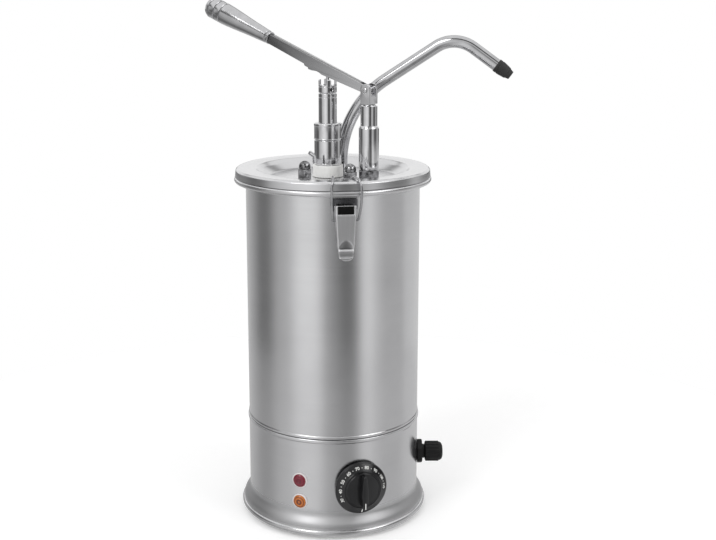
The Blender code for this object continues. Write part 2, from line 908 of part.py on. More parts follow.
def make_heater():
    """A cast plate against the pot, a bent tubular element and a shield pan hung under the ledge."""
    plate_radius = pot_radius - pot_corner
    plate_top = pot_underside - touch_gap
    plate_foot = plate_top - plate_thickness
    plate_section = [
        (0.0, plate_top),
        (plate_radius - plate_rim_step, plate_top),
        (plate_radius, plate_top - plate_rim_step),
        (plate_radius, plate_foot),
        (0.0, plate_foot),
    ]
    turned("heater_plate", plate_section, aluminium, middle_steps, False, parent=vessel)
    height = plate_foot - touch_gap - element_tube_radius
    sweep = math.tau - element_open_angle
    route = []
    for step in range(element_points + 1):
        angle = (element_open_angle - math.pi) / 2 + sweep * step / element_points
        route.append(Vector((element_ring_radius * math.cos(angle), element_ring_radius * math.sin(angle),
                             height)))
    drop = Vector((0.0, 0.0, -element_leg_length))
    wire("heating_element", [route[0] + drop] + route + [route[-1] + drop], element_tube_radius,
         spring_steel, 2, vessel)
    shield_radius = base_ledge_radius - shield_gap
    shield_floor = base_top - shield_drop
    shield_lip = base_top - sheet - touch_gap
    shield_section = [
        (0.0, shield_floor + sheet),
        (shield_radius - sheet, shield_floor + sheet),
        (shield_radius - sheet, shield_lip),
        (shield_radius + shield_flange, shield_lip),
        (shield_radius + shield_flange, shield_lip - sheet),
        (shield_radius, shield_lip - sheet),
        (shield_radius, shield_floor),
        (0.0, shield_floor),
    ]
    turned("heat_shield", shield_section, satin, middle_steps, False, parent=vessel)


def make_control():
    """The thermostat with its bushing, and the knob with a grip ridge on its flatted shaft."""
    axis = side_frame("knob_axis", knob_azimuth, knob_height)
    cut(base_housing, bar("bushing_cutter", bushing_radius + touch_gap, -cut_overrun, cut_overrun,
                          parent=axis))
    half_width = thermostat_width / 2
    half_height = thermostat_height / 2
    thermostat = block("thermostat", (-half_width, -half_height, -thermostat_setback - thermostat_depth),
                       (half_width, half_height, -thermostat_setback), black_plastic, fold_round, parent=axis)
    join(thermostat, bar("bushing", bushing_radius, -thermostat_setback - sheet, knob_standoff - touch_gap,
                         parent=axis))
    cut(thermostat, bar("shaft_bore", shaft_radius + touch_gap, -thermostat_setback - shaft_tail, cut_overrun,
                        parent=axis))
    skirt_face = knob_standoff + knob_skirt_depth
    scale_face = skirt_face + knob_cone_depth
    face = scale_face + knob_face_rise
    section = rounded([
        (0.0, face, 0.0),
        (knob_face_radius, face, knob_turn_round),
        (knob_face_radius + knob_scale_step, scale_face, 0.0),
        (knob_skirt_radius, skirt_face + knob_turn_round, knob_turn_round),
        (knob_skirt_radius, knob_standoff, 0.0),
        (0.0, knob_standoff, 0.0),
    ], closed=False)
    knob = turned("knob", section, black_plastic, large_steps, False, parent=axis)
    half = knob_ridge_width / 2
    reach = knob_face_radius * knob_ridge_share
    ridge = rounded([(half, -reach, half), (half, reach, half), (-half, reach, half), (-half, -reach, half)])
    join(knob, prism("knob_ridge", ridge, skirt_face, face + knob_ridge_rise, parent=axis))
    nose = face - shaft_cover
    flat = shaft_radius * shaft_flat_share
    cut(knob, prism("knob_bore", flatted(polygon(small_steps, shaft_radius + touch_gap), flat + touch_gap),
                    -cut_overrun, nose + touch_gap, parent=axis))
    prism("knob_shaft", flatted(polygon(small_steps, shaft_radius), flat),
          touch_gap - thermostat_setback - shaft_tail, nose, polished, parent=axis)


def make_lamp(name, height, lens_material):
    """A signal lamp: a lens over a body that passes through the housing."""
    axis = side_frame("lamp_axis_" + name, lamp_azimuth, height)
    stem_radius = lamp_radius - lamp_body_inset
    cut(base_housing, bar("lamp_cutter_" + name, stem_radius + touch_gap, -cut_overrun, cut_overrun,
                          parent=axis))
    crown_reach, crown_height = lamp_crown_shares
    section = rounded([
        (0.0, lamp_seat + lamp_depth, 0.0),
        (lamp_radius * crown_reach, lamp_seat + lamp_depth * crown_height, lamp_radius * lamp_round_share),
        (lamp_radius, lamp_seat + lamp_depth * lamp_shoulder_share, lamp_depth * lamp_round_share),
        (lamp_radius, lamp_seat, 0.0),
        (0.0, lamp_seat, 0.0),
    ], steps=1, closed=False)
    turned("lamp_lens_" + name, section, lens_material, small_steps, False, parent=axis)
    bar("lamp_body_" + name, stem_radius, -lamp_body_depth, lamp_seat - touch_gap, black_plastic,
        parent=axis)


def make_gland():
    """The cord gland: a body through the wall with a hex flange, a domed cap nut and a locknut inside."""
    axis = side_frame("gland_axis", math.pi / 2, gland_height)
    cut(base_housing, bar("gland_cutter", gland_thread_radius + touch_gap, -cut_overrun, cut_overrun,
                          parent=axis))
    flats = (gland_thread_radius + gland_hex_margin) * 2
    seat = touch_gap * 2
    flange_face = seat + gland_flange_depth
    neck_face = flange_face + gland_neck_depth
    stub_radius = gland_neck_radius - gland_stub_inset
    stub_end = neck_face + gland_stub_depth
    section = [
        (stub_radius, stub_end),
        (stub_radius, neck_face),
        (gland_neck_radius, neck_face),
        (gland_neck_radius, seat),
        (gland_thread_radius, seat),
        (gland_thread_radius, -gland_thread_depth),
        (gland_bore_radius, -gland_thread_depth),
        (gland_bore_radius, stub_end),
    ]
    body = turned("gland_body", section, gland_plastic, small_steps, parent=axis)
    flange = prism("gland_hex", hexagon(flats, math.pi / hex_sides), seat, flange_face, parent=axis)
    cut(flange, bar("gland_hex_bore", (gland_bore_radius + gland_neck_radius) / 2, -cut_overrun,
                    neck_face + cut_overrun, parent=axis))
    join(body, flange)
    cap_back = neck_face + touch_gap
    cap_front = cap_back + gland_cap_depth
    cap_inside = stub_radius + touch_gap
    cap_outside = cap_inside + gland_cap_wall
    cap_section = rounded([
        (gland_bore_radius + gland_mouth_step, cap_front, 0.0),
        (cap_outside, cap_front - gland_cap_depth * gland_crown_share, gland_cap_depth * gland_round_share),
        (cap_outside, cap_back, 0.0),
        (cap_inside, cap_back, 0.0),
        (cap_inside, stub_end + touch_gap, 0.0),
        (gland_bore_radius, stub_end + touch_gap, 0.0),
        (gland_bore_radius, cap_front, 0.0),
    ], steps=4)
    turned("gland_cap", cap_section, gland_plastic, small_steps, parent=axis)
    wall = base_radius - sheet
    wall_sag = wall - math.sqrt(wall ** 2 - (flats / math.sqrt(3)) ** 2)
    nut_face = -sheet - wall_sag - touch_gap * 2
    locknut = prism("gland_locknut", hexagon(flats), nut_face - locknut_depth, nut_face, gland_plastic,
                    parent=axis)
    cut(locknut, bar("locknut_bore", gland_thread_radius + touch_gap, -gland_thread_depth - cut_overrun,
                     cut_overrun, parent=axis))


def make_terminal_block():
    """A ceramic terminal block on the bottom cover, with a row of screw wells."""
    foot = cover_floor + touch_gap
    top = foot + terminal_height
    spot = (-terminal_left, terminal_back, 0.0)
    terminal = block("terminal_block", (-terminal_length / 2, -terminal_width / 2, foot),
                     (terminal_length / 2, terminal_width / 2, top), ceramic, place=spot, parent=vessel)
    pitch = terminal_length / terminal_ways
    round_well = polygon(tiny_steps, terminal_well_radius)
    wells = [shifted(round_well, pitch * (way + 0.5) - terminal_length / 2, 0.0)
             for way in range(terminal_ways)]
    cut(terminal, prisms("terminal_wells", wells, top - terminal_well_depth, top + cut_overrun, place=spot,
                         parent=vessel))


def make_mount_plate():
    """The plate clamped under the lid with its three studs, and the holes through plate and lid."""
    plate = prism("mount_plate", polygon(large_steps, mount_plate_radius), mount_foot, mount_top, satin,
                  parent=vessel)
    for number, (across, along) in enumerate(nut_places):
        join(plate, bar("stud_%d" % (number + 1), stud_radius, mount_foot + sheet, stud_top, None, tiny_steps,
                        place=(across, along, 0.0), parent=vessel))
    holes = [
        shifted(polygon(middle_steps, neck_radius + touch_gap), barrel_x, barrel_y),
        shifted(polygon(small_steps, pipe_radius + touch_gap), pipe_x, pipe_y),
        shifted(polygon(middle_steps, post_stud_radius + touch_gap), post_x, post_y),
    ]
    cut(plate, prisms("mount_holes", holes, mount_foot - cut_overrun, mount_top + cut_overrun, parent=vessel))
    holes += [shifted(polygon(tiny_steps, stud_radius + touch_gap * 2), x, y) for x, y in nut_places]
    cut(lid, prisms("lid_holes", holes, lid_underside - cut_overrun, lid_floor + cut_overrun, parent=vessel))


def make_acorn_nut(number, spot, hex_height):
    """A domed nut with a washer face, on its stud."""
    washer_top = nut_seat + nut_washer_height
    hex_top = washer_top + hex_height
    dome = arc((0.0, 0.0), nut_dome_radius, curl_start, 0.0, nut_dome_steps)
    section = [(0.0, hex_top + nut_dome_height)]
    section += [(radius, hex_top + rise * nut_dome_height / nut_dome_radius) for radius, rise in dome]
    section += [(nut_dome_radius * nut_waist_share, washer_top), (nut_washer_radius, washer_top),
                (nut_washer_radius, nut_seat), (0.0, nut_seat)]
    nut = turned("acorn_nut_%d" % number, section, polished, small_steps, False, spot, parent=vessel)
    join(nut, prism("acorn_hex_%d" % number, hexagon(nut_flats, math.pi / hex_sides), washer_top - touch_gap,
                    hex_top, place=spot, parent=vessel))
    cut(nut, bar("acorn_bore_%d" % number, stud_radius + touch_gap, nut_seat - cut_overrun,
                 stud_top + touch_gap, None, tiny_steps, place=spot, parent=vessel))


def make_barrel():
    """The pump's cylinder with its threaded neck, and the collar, sleeve and cap nut stacked on it."""
    shoulder_foot = cylinder_top - cylinder_shoulder
    cylinder_section = [
        (neck_radius, neck_top),
        (neck_radius, cylinder_top),
        (cylinder_radius, cylinder_top),
        (cylinder_radius, cylinder_foot),
        (cylinder_bore, cylinder_foot),
        (cylinder_bore, shoulder_foot),
        (plunger_bore, shoulder_foot),
        (plunger_bore, neck_top),
    ]
    turned("pump_cylinder", cylinder_section, polished, middle_steps, parent=barrel)
    thread = neck_radius + touch_gap
    collar_section = rounded([
        (collar_radius, collar_top, fold_round),
        (collar_radius, nut_seat, 0.0),
        (thread, nut_seat, 0.0),
        (thread, collar_top, 0.0),
    ])
    turned("pump_collar", collar_section, white_plastic, middle_steps, parent=barrel)
    sleeve_section = [
        (sleeve_radius - groove_depth, sleeve_top),
        (sleeve_radius - groove_depth, sleeve_top - groove_width),
        (sleeve_radius, sleeve_top - groove_width),
        (sleeve_radius, sleeve_foot),
        (thread, sleeve_foot),
        (thread, neck_top + touch_gap),
        (plunger_bore, neck_top + touch_gap),
        (plunger_bore, sleeve_top),
    ]
    turned("barrel_sleeve", sleeve_section, polished, middle_steps, parent=barrel)
    cap_section = [
        (plunger_bore + cap_chamfer, cap_top),
        (cap_radius - cap_chamfer, cap_top),
        (cap_radius, cap_top - cap_chamfer),
        (cap_radius, cap_foot),
        (plunger_bore, cap_foot),
        (plunger_bore, cap_top - cap_chamfer),
    ]
    turned("barrel_cap", cap_section, polished, middle_steps, parent=barrel)


def make_pump_foot():
    """A waisted block from the cylinder to the discharge pipe, with an inlet from below."""
    near = cylinder_radius + pump_foot_margin
    far = pipe_radius + pump_foot_margin
    tangent = math.acos((near - far) / pipe_offset)
    far_centre = (pipe_x - barrel_x, pipe_y - barrel_y)
    outline = arc((0.0, 0.0), near, pipe_azimuth + tangent, pipe_azimuth + math.tau - tangent, tiny_steps)
    outline += arc(far_centre, far, pipe_azimuth - tangent, pipe_azimuth + tangent, hex_sides)
    foot = prism("pump_foot", outline, pump_foot_base, pump_foot_top, white_plastic, parent=barrel)
    cut(foot, bar("inlet_cutter", foot_inlet_radius, pump_foot_base - cut_overrun,
                  pump_foot_top + cut_overrun, parent=barrel))


def spout_point(reach, height):
    return Vector((pipe_x + reach * math.cos(spout_azimuth),
                   pipe_y + reach * math.sin(spout_azimuth), height))


def make_spout():
    """The discharge pipe inside the pot, the gooseneck above the lid, and its rubber nozzle."""
    across = Vector((-math.sin(spout_azimuth), math.cos(spout_azimuth), 0.0))
    pipe("discharge_pipe", [spout_point(0.0, cylinder_foot), spout_point(0.0, lid_underside - touch_gap * 2)],
         across, polished, vessel)
    route = [spout_point(0.0, lid_underside)]
    for step in range(bend_points + 1):
        angle = (math.pi / 2 - spout_rise_angle) * step / bend_points
        route.append(spout_point(spout_first_bend_radius * (1 - math.cos(angle)),
                                 lid_floor + spout_stand_height + spout_first_bend_radius * math.sin(angle)))
    rise = Vector((math.cos(spout_rise_angle), math.sin(spout_rise_angle)))
    fall = Vector((math.cos(spout_fall_angle), -math.sin(spout_fall_angle)))
    first_end = spout_first_bend_radius * Vector((1 - rise.y, rise.x))
    first_end.y += lid_floor + spout_stand_height
    crown = first_end + rise * spout_straight_length + Vector((rise.y, -rise.x)) * spout_second_bend_radius
    for step in range(bend_points + 1):
        angle = math.pi / 2 + spout_rise_angle - (spout_rise_angle + spout_fall_angle) * step / bend_points
        route.append(spout_point(crown.x + spout_second_bend_radius * math.cos(angle),
                                 crown.y + spout_second_bend_radius * math.sin(angle)))
    outlet = crown + Vector((-fall.y, fall.x)) * spout_second_bend_radius + fall * spout_outlet_length
    route.append(spout_point(*outlet))
    pipe("spout_pipe", route, across, polished, vessel)
    grip = pipe_radius + touch_gap
    nozzle_section = rounded([
        (nozzle_bore, nozzle_length, 0.0),
        (nozzle_tip_radius, nozzle_length, nozzle_round),
        (grip + nozzle_wall, nozzle_length * nozzle_shoulder_share, nozzle_round),
        (grip + nozzle_wall, -nozzle_cap_depth, 0.0),
        (grip, -nozzle_cap_depth, 0.0),
        (grip, touch_gap, 0.0),
        (nozzle_bore, touch_gap, 0.0),
    ], steps=1)
    turned("spout_nozzle", nozzle_section, black_rubber, middle_steps, True, spout_point(*outlet),
           (0.0, math.pi / 2 + spout_fall_angle, spout_azimuth), vessel)


def make_post():
    """A stepped column on the lid with a hex nut round its foot, screwed into the mount plate."""
    axis = frame("post_axis", (post_x, post_y, 0.0), parent=vessel)
    section = [
        (0.0, post_top),
        (post_upper_radius, post_top),
        (post_upper_radius, post_neck),
        (post_lower_radius, post_shoulder),
        (post_lower_radius, post_foot),
        (post_stud_radius, post_foot),
        (post_stud_radius, mount_foot - post_stud_below),
        (0.0, mount_foot - post_stud_below),
    ]
    turned("lever_post", section, polished, middle_steps, False, parent=axis)
    nut = prism("post_nut", hexagon(post_nut_flats, math.pi / hex_sides), nut_seat, post_nut_top, polished,
                parent=axis)
    cut(nut, bar("post_nut_bore", post_stud_radius + touch_gap, nut_seat - cut_overrun,
                 post_nut_top + cut_overrun, parent=axis))


def make_clevis():
    """A forked head on the post, with the pivot pin through its ears."""
    half = clevis_length / 2
    base = touch_gap - (pivot_height - post_top)
    outline = rounded([(-half, base, 0.0), (half, base, 0.0), (half, clevis_top, clevis_round),
                       (-half, clevis_top, clevis_round)])
    slot_half = lever_width / 2 + clevis_side_gap
    width_half = slot_half + clevis_ear
    clevis = prism("clevis", outline, -width_half, width_half, polished, turn=upright, parent=pivot_axis)
    cut(clevis, block("clevis_slot", (-clevis_length, -slot_half, -lever_nose - clevis_floor_gap),
                      (clevis_length, slot_half, clevis_top + cut_overrun), parent=pivot_axis))
    cut(clevis, bar_across("clevis_bore", pivot_pin_radius + touch_gap, -width_half - cut_overrun,
                           width_half + cut_overrun, parent=pivot_axis))
    bar_across("pivot_pin", pivot_pin_radius, -width_half - sheet, width_half + sheet, polished,
               parent=pivot_axis)


def make_lever():
    """An inverted channel with a stepped lower edge and a round nose, and the push pin between its sides."""
    outline = [(lever_length, lever_top)]
    outline += [(0.0, lever_top)] + arc((0.0, 0.0), lever_nose, math.pi / 2, math.pi * 3 / 2,
                                        lever_nose_steps)[1:]
    outline += [(lever_length * reach, -lever_depth * depth)
                for reach, depth in zip(lever_reach_shares, lever_depth_shares)]
    half = lever_width / 2
    lever = prism("lever", outline, -half, half, polished, turn=upright, parent=lever_axis)
    inside = half - lever_wall
    behind = -lever_nose - cut_overrun
    cut(lever, block("lever_hollow", (behind, -inside, -lever_depth - cut_overrun),
                     (lever_length + cut_overrun, inside, lever_top - lever_wall), parent=lever_axis))
    cut(lever, block("lever_top_slot", (behind, -inside, 0.0),
                     (lever_slot_reach, inside, lever_top + cut_overrun), parent=lever_axis))
    cut(lever, bar_across("lever_bore", pivot_pin_radius + touch_gap, -half - cut_overrun, half + cut_overrun,
                          parent=lever_axis))
    bar_across("push_pin", push_pin_radius, touch_gap - inside, inside - touch_gap, polished, tiny_steps,
               (push_pin_reach, 0.0, -push_pin_depth), lever_axis)


def make_grip():
    """A turned grip: a ringed neck, a waist and a fuller head with three grooves."""
    groove = grip_neck_radius - grip_ring_depth
    profile = [(0.0, grip_length)]
    profile += [(grip_head_radius * (1 - inset), grip_length - grip_end_length * back)
                for inset, back in zip(grip_end_inset_shares, grip_end_back_shares)]
    for number in range(grip_groove_count):
        middle = grip_length - grip_groove_pitch * (number + 1)
        profile += [
            (grip_head_radius, middle + grip_groove_width / 2),
            (grip_head_radius - grip_groove_depth, middle),
            (grip_head_radius, middle - grip_groove_width / 2),
        ]
    profile += [
        (grip_waist_radius, grip_length * grip_waist_share),
        (grip_neck_radius, grip_ring_length * 3),
        (groove, grip_ring_length * 2),
        (groove, grip_ring_length),
        (grip_neck_radius, grip_ring_length),
        (grip_neck_radius, 0.0),
        (0.0, 0.0),
    ]
    turned("lever_grip", profile, polished, middle_steps, False, (lever_length + touch_gap, 0.0, -grip_drop),
           sideways, lever_axis)


def make_plunger_head():
    """A crowned head: four prongs left by crossed slots round a bore, with the tappet standing in it."""
    head_bore = plunger_radius - head_wall
    section = [
        (0.0, head_slot_floor),
        (head_bore, head_slot_floor),
        (head_bore, head_top),
        (plunger_radius, head_top),
        (plunger_radius, head_foot + head_step),
        (plunger_radius - head_step, head_foot),
        (0.0, head_foot),
    ]
    head = turned("plunger_head", section, polished, middle_steps, False, parent=plunger)
    half = lever_width / 2 + head_slot_gap
    reach = plunger_radius + cut_overrun
    for number, (along, across) in enumerate(((reach, half), (half, reach))):
        cut(head, block("crown_slot_%d" % (number + 1), (-along, -across, head_slot_floor + weld_distance),
                        (along, across, head_top + cut_overrun), parent=plunger))
    cut(head, bar("head_screw_cutter", head_screw_radius, plunger_radius - head_screw_depth, reach, None,
                  tiny_steps, place=(0.0, 0.0, head_foot + head_screw_rise),
                  turn=(0.0, math.pi / 2, head_screw_azimuth - lever_heading), parent=plunger))
    bar("tappet", tappet_radius, head_slot_floor + touch_gap, tappet_top, polished, tiny_steps,
        parent=plunger)


def make_plunger():
    """The plunger's tube, the rod with its spring collar, and the piston with its seal."""
    bar("plunger_tube", plunger_radius, plunger_foot, plunger_top, polished, middle_steps, parent=plunger)
    rod_collar_foot = rod_collar_top - rod_collar_thickness
    rod_section = [
        (0.0, plunger_foot - touch_gap),
        (rod_radius, plunger_foot - touch_gap),
        (rod_radius, rod_collar_top),
        (rod_collar_radius, rod_collar_top),
        (rod_collar_radius, rod_collar_foot),
        (rod_radius, rod_collar_foot),
        (rod_radius, piston_top + touch_gap),
        (0.0, piston_top + touch_gap),
    ]
    turned("piston_rod", rod_section, polished, small_steps, False, parent=plunger)
    piston_foot = piston_top - piston_length
    seal_top = piston_top - (piston_length - seal_width) / 2
    seal_foot = seal_top - seal_width
    groove = piston_radius - seal_depth
    piston_section = [
        (0.0, piston_top),
        (piston_radius, piston_top),
        (piston_radius, seal_top),
        (groove, seal_top),
        (groove, seal_foot),
        (piston_radius, seal_foot),
        (piston_radius, piston_foot),
        (0.0, piston_foot),
    ]
    turned("piston", piston_section, white_plastic, middle_steps, False, parent=plunger)
    seal_section = [
        (piston_radius + touch_gap / 2, seal_top - touch_gap),
        (piston_radius + touch_gap / 2, seal_foot + touch_gap),
        (groove + touch_gap, seal_foot + touch_gap),
        (groove + touch_gap, seal_top - touch_gap),
    ]
    turned("piston_seal", seal_section, silicone, middle_steps, parent=plunger)


def make_return_spring():
    """The spring in the cylinder, between a fixed seat and the rod's collar."""
    seat_top = spring_seat_foot + spring_seat_thickness
    outside = cylinder_bore - touch_gap
    inside = rod_radius + spring_seat_gap
    seat_section = [(outside, seat_top), (outside, spring_seat_foot), (inside, spring_seat_foot),
                    (inside, seat_top)]
    turned("spring_seat", seat_section, polished, middle_steps, parent=barrel)
    low = seat_top + spring_wire + touch_gap
    high = rod_collar_top - rod_collar_thickness - spring_wire - touch_gap
    coil = []
    for step in range(spring_turns * spring_points + 1):
        angle = math.tau * step / spring_points
        share = step / (spring_turns * spring_points)
        coil.append(Vector((spring_radius * math.cos(angle), spring_radius * math.sin(angle),
                            low + (high - low) * share)))
    wire("return_spring", coil, spring_wire, spring_steel, 1, barrel)


def make_latch_base(name, side):
    """A back plate with two cheeks that hold the pin, hollowed between them."""
    plate_face = latch_back + heavy_sheet
    foot = latch_pivot_height - latch_base_drop
    top = latch_pivot_height - latch_base_inset
    outline = [(latch_back, foot), (plate_face, foot), (plate_face, latch_pivot_height - latch_cheek_root)]
    outline += arc((latch_pivot_radius, latch_pivot_height), latch_cheek_radius, -math.pi / 4, math.pi / 2,
                   hex_sides)
    outline += [(plate_face + sheet, latch_pivot_height + latch_cheek_radius), (latch_back, top)]
    base = prism("latch_base_" + name, outline, -latch_base_half, latch_base_half, satin, turn=upright,
                 parent=side)
    inside = latch_base_half - heavy_sheet
    cut(base, block("latch_base_hollow_" + name, (plate_face, -inside, foot - cut_overrun),
                    (latch_pivot_radius + latch_face, inside, top + cut_overrun), parent=side))
    pin_place = (latch_pivot_radius, 0.0, latch_pivot_height)
    cut(base, bar_across("latch_base_bore_" + name, latch_pin_radius + touch_gap, -latch_half_top,
                         latch_half_top, None, tiny_steps, pin_place, side))
    bar_across("latch_pin_" + name, latch_pin_radius, -latch_half_top - touch_gap, latch_half_top + touch_gap,
               polished, tiny_steps, pin_place, side)


def make_latch_lever(name, pivot, ear_place):
    """A tapered channel with a window near its top and a curled finger tab at its foot."""
    back = latch_face - heavy_sheet
    flange = latch_face - latch_flange_depth
    top = latch_top_rise
    fold = -latch_fold_drop
    tab = fold - latch_tab_length
    tab_face = latch_face + latch_tab_lift
    outline = rounded([
        (flange, top - latch_side_top, latch_cheek_radius), (latch_face, top, sheet), (latch_face, fold, 0.0),
        (tab_face, tab, 0.0), (tab_face - heavy_sheet, tab - sheet / 2, 0.0),
        (back, fold - sheet, 0.0), (back - sheet, fold + latch_side_depth, 0.0),
        (flange, -latch_arm - latch_side_depth, latch_cheek_radius),
    ])
    plate = prism("latch_lever_" + name, outline[::-1], -latch_half_top, latch_half_top, satin, turn=upright,
                  parent=pivot)
    inside = latch_half_top - heavy_sheet
    inside_foot = latch_half_foot - heavy_sheet
    above = top + cut_overrun
    hollow = [(-inside, above), (-inside_foot, fold), (inside_foot, fold), (inside, above)]
    cut(plate, prism("latch_hollow_" + name, hollow, flange - cut_overrun, back, turn=facing_out,
                     parent=pivot))
    beyond = latch_half_top + cut_overrun
    tip_half = latch_tab_half * latch_tab_taper_share
    for label, sign in (("left", -1), ("right", 1)):
        taper = [
            (sign * latch_half_top, above), (sign * latch_half_top, top - sheet),
            (sign * latch_half_foot, fold + latch_side_depth), (sign * latch_half_foot, fold),
            (sign * latch_tab_half, fold - sheet), (sign * tip_half, tab - cut_overrun),
            (sign * beyond, tab - cut_overrun), (sign * beyond, above),
        ]
        cut(plate, prism("latch_taper_%s_%s" % (label, name), taper, flange - cut_overrun,
                         tab_face + cut_overrun, turn=facing_out, parent=pivot))
    half = latch_window_half
    edge = latch_window_frame
    join(plate, block("latch_window_frame_" + name, (back, -half - edge, -latch_window_foot - edge),
                      (latch_face + latch_frame_lift, half + edge, latch_window_top + edge), parent=pivot))
    cut(plate, block("latch_window_" + name, (back - sheet, -half, -latch_window_foot),
                     (latch_face + cut_overrun, half, latch_window_top), parent=pivot))
    cut(plate, bar_across("latch_pin_bore_" + name, latch_pin_radius + touch_gap, -beyond, beyond, None,
                          tiny_steps, (0.0, 0.0, 0.0), pivot))
    cut(plate, bar_across("latch_ear_bore_" + name, bail_wire + bail_clear, -beyond, beyond, None, tiny_steps,
                          ear_place, pivot))


def make_bail(name, pivot, ear_place):
    """One wire from ear to ear: up past both rims, over the lid's band and down to its bar."""
    ear = frame("bail_pivot_" + name, ear_place, parent=pivot)
    ear_x = latch_pivot_radius + ear_place[0]
    ear_z = latch_pivot_height + ear_place[2]
    over = lid_crown + bail_wire + bail_over_gap - ear_z
    half_route = [
        (0.0, latch_half_foot - bail_hook_inset, 0.0),
        (0.0, bail_half_foot, 0.0),
        (bail_side_radius - ear_x, bail_half_side, latch_pivot_height + bail_shoulder_rise - ear_z),
        (bail_side_radius - ear_x, bail_half_side, lid_crown - bail_bend_drop - ear_z),
        (bail_side_radius - bail_over_inset - ear_x, (bail_half_side + bail_half_top) / 2, over),
        (lid_band_radius - bail_band_overlap - ear_x, bail_half_top, over),
        (lid_band_radius - bail_bar_inset - ear_x, bail_half_top, lid_crown - bail_bar_drop - ear_z),
    ]
    whole = half_route + [(x, -y, z) for x, y, z in reversed(half_route)]
    route = smooth_route(whole, bail_corner, bail_corner_steps)
    wire("latch_bail_" + name, route, bail_wire, polished, 1, ear)


def make_latch(name, azimuth):
    """A toggle latch on the jacket: its base and pin, its lever, and its wire bail."""
    side = frame("latch_frame_" + name, turn=(0.0, 0.0, azimuth - math.pi / 2), parent=vessel)
    pivot = frame("latch_pivot_" + name, (latch_pivot_radius, 0.0, latch_pivot_height), parent=side)
    ear_place = (-latch_arm * math.sin(latch_over_centre), 0.0, -latch_arm * math.cos(latch_over_centre))
    make_latch_base(name, side)
    make_latch_lever(name, pivot, ear_place)
    make_bail(name, pivot, ear_place)


clear_scene()

polished = finish("polished_steel", steel_colour, 1.0, 0.14)
satin = finish("satin_steel", satin_colour, 1.0, 0.30)
black_plastic = finish("black_plastic", dark_colour, 0.0, 0.30)
gland_plastic = finish("gland_plastic", dark_colour, 0.0, 0.50)
white_plastic = finish("white_plastic", white_colour, 0.0, 0.35)
red_lens = finish("red_lens", red_colour, 0.0, 0.20)
amber_lens = finish("amber_lens", amber_colour, 0.0, 0.20)
aluminium = finish("cast_aluminium", aluminium_colour, 1.0, 0.45)
spring_steel = finish("spring_steel", spring_colour, 1.0, 0.30)
ceramic = finish("ceramic", ceramic_colour, 0.0, 0.60)
black_rubber = finish("black_rubber", rubber_colour, 0.0, 0.70)
silicone = finish("silicone", silicone_colour, 0.0, 0.60)

vessel = frame("vessel_frame")
base_housing = make_base_housing()
make_bottom_cover()
make_jacket()
make_pot()
lid = make_lid()
make_heater()
make_control()
make_lamp("red", lamp_height + lamp_spacing, red_lens)
make_lamp("amber", lamp_height, amber_lens)
make_gland()
make_terminal_block()
make_mount_plate()
for nut_number, ((nut_x, nut_y), nut_height) in enumerate(zip(nut_places, nut_hex_heights), start=1):
    make_acorn_nut(nut_number, (nut_x, nut_y, 0.0), nut_height)

barrel = frame("barrel_axis", (barrel_x, barrel_y, 0.0), parent=vessel)
make_barrel()
make_pump_foot()
make_spout()
make_post()

pivot_axis = frame("pivot_axis", (post_x, post_y, pivot_height), (0.0, 0.0, lever_heading), vessel)
make_clevis()
lever_axis = frame("lever_axis", turn=(0.0, -lever_rest_angle, 0.0), parent=pivot_axis)
make_lever()
make_grip()

plunger = frame("plunger_axis", turn=(0.0, 0.0, lever_heading), parent=barrel)
make_plunger_head()
make_plunger()
make_return_spring()

make_latch("front", latch_azimuth)
make_latch("rear", latch_azimuth + math.pi)
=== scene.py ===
"""Hot fudge topping warmer: the finished looks of a heated round pot with a lever pump in its lid.

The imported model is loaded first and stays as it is. Every visible piece is then made again in finer
form over its own node, or the node gets a better finish. Sizes are in millimetres in the tables and
become metres where a mesh is made. The vessel stands on Z = 0 round the Z axis, and its front faces -Y.
"""
from math import atan2, cos, pi, radians, sin, sqrt, tan, tau

import bmesh
import bpy
from mathutils import Matrix, Vector


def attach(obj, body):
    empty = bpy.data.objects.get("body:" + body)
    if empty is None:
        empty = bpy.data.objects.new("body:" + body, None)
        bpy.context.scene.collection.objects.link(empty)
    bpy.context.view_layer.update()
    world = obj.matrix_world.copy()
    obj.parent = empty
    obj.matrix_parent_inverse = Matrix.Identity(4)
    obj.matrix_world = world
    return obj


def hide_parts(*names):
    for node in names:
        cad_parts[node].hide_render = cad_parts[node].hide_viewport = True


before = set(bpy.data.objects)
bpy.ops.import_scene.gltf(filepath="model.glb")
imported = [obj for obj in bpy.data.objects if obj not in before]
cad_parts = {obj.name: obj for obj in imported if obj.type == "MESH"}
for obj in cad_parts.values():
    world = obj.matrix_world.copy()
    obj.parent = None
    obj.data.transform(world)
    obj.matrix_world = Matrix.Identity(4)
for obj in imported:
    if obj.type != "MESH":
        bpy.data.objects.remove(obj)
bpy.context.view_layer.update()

MM = 0.001

# The camera that was fitted to the photograph, in metres, radians and pixels.
CAMERA_SPOT = (0.0041, -1.1935, 0.5492)
CAMERA_TURN, CAMERA_DIP, CAMERA_ROLL = 0.0035, 0.1962, -0.0025
CAMERA_SHIFT = (0.0352, -0.07)
FOCAL_PIXELS, PICTURE_WIDTH, SENSOR_WIDTH = 1166.2, 716, 36.0
# The floor's disc, and the shell that carries the studio's flags, in metres.
FLOOR_RADIUS, SHELL_RADIUS = 0.62, 3.0

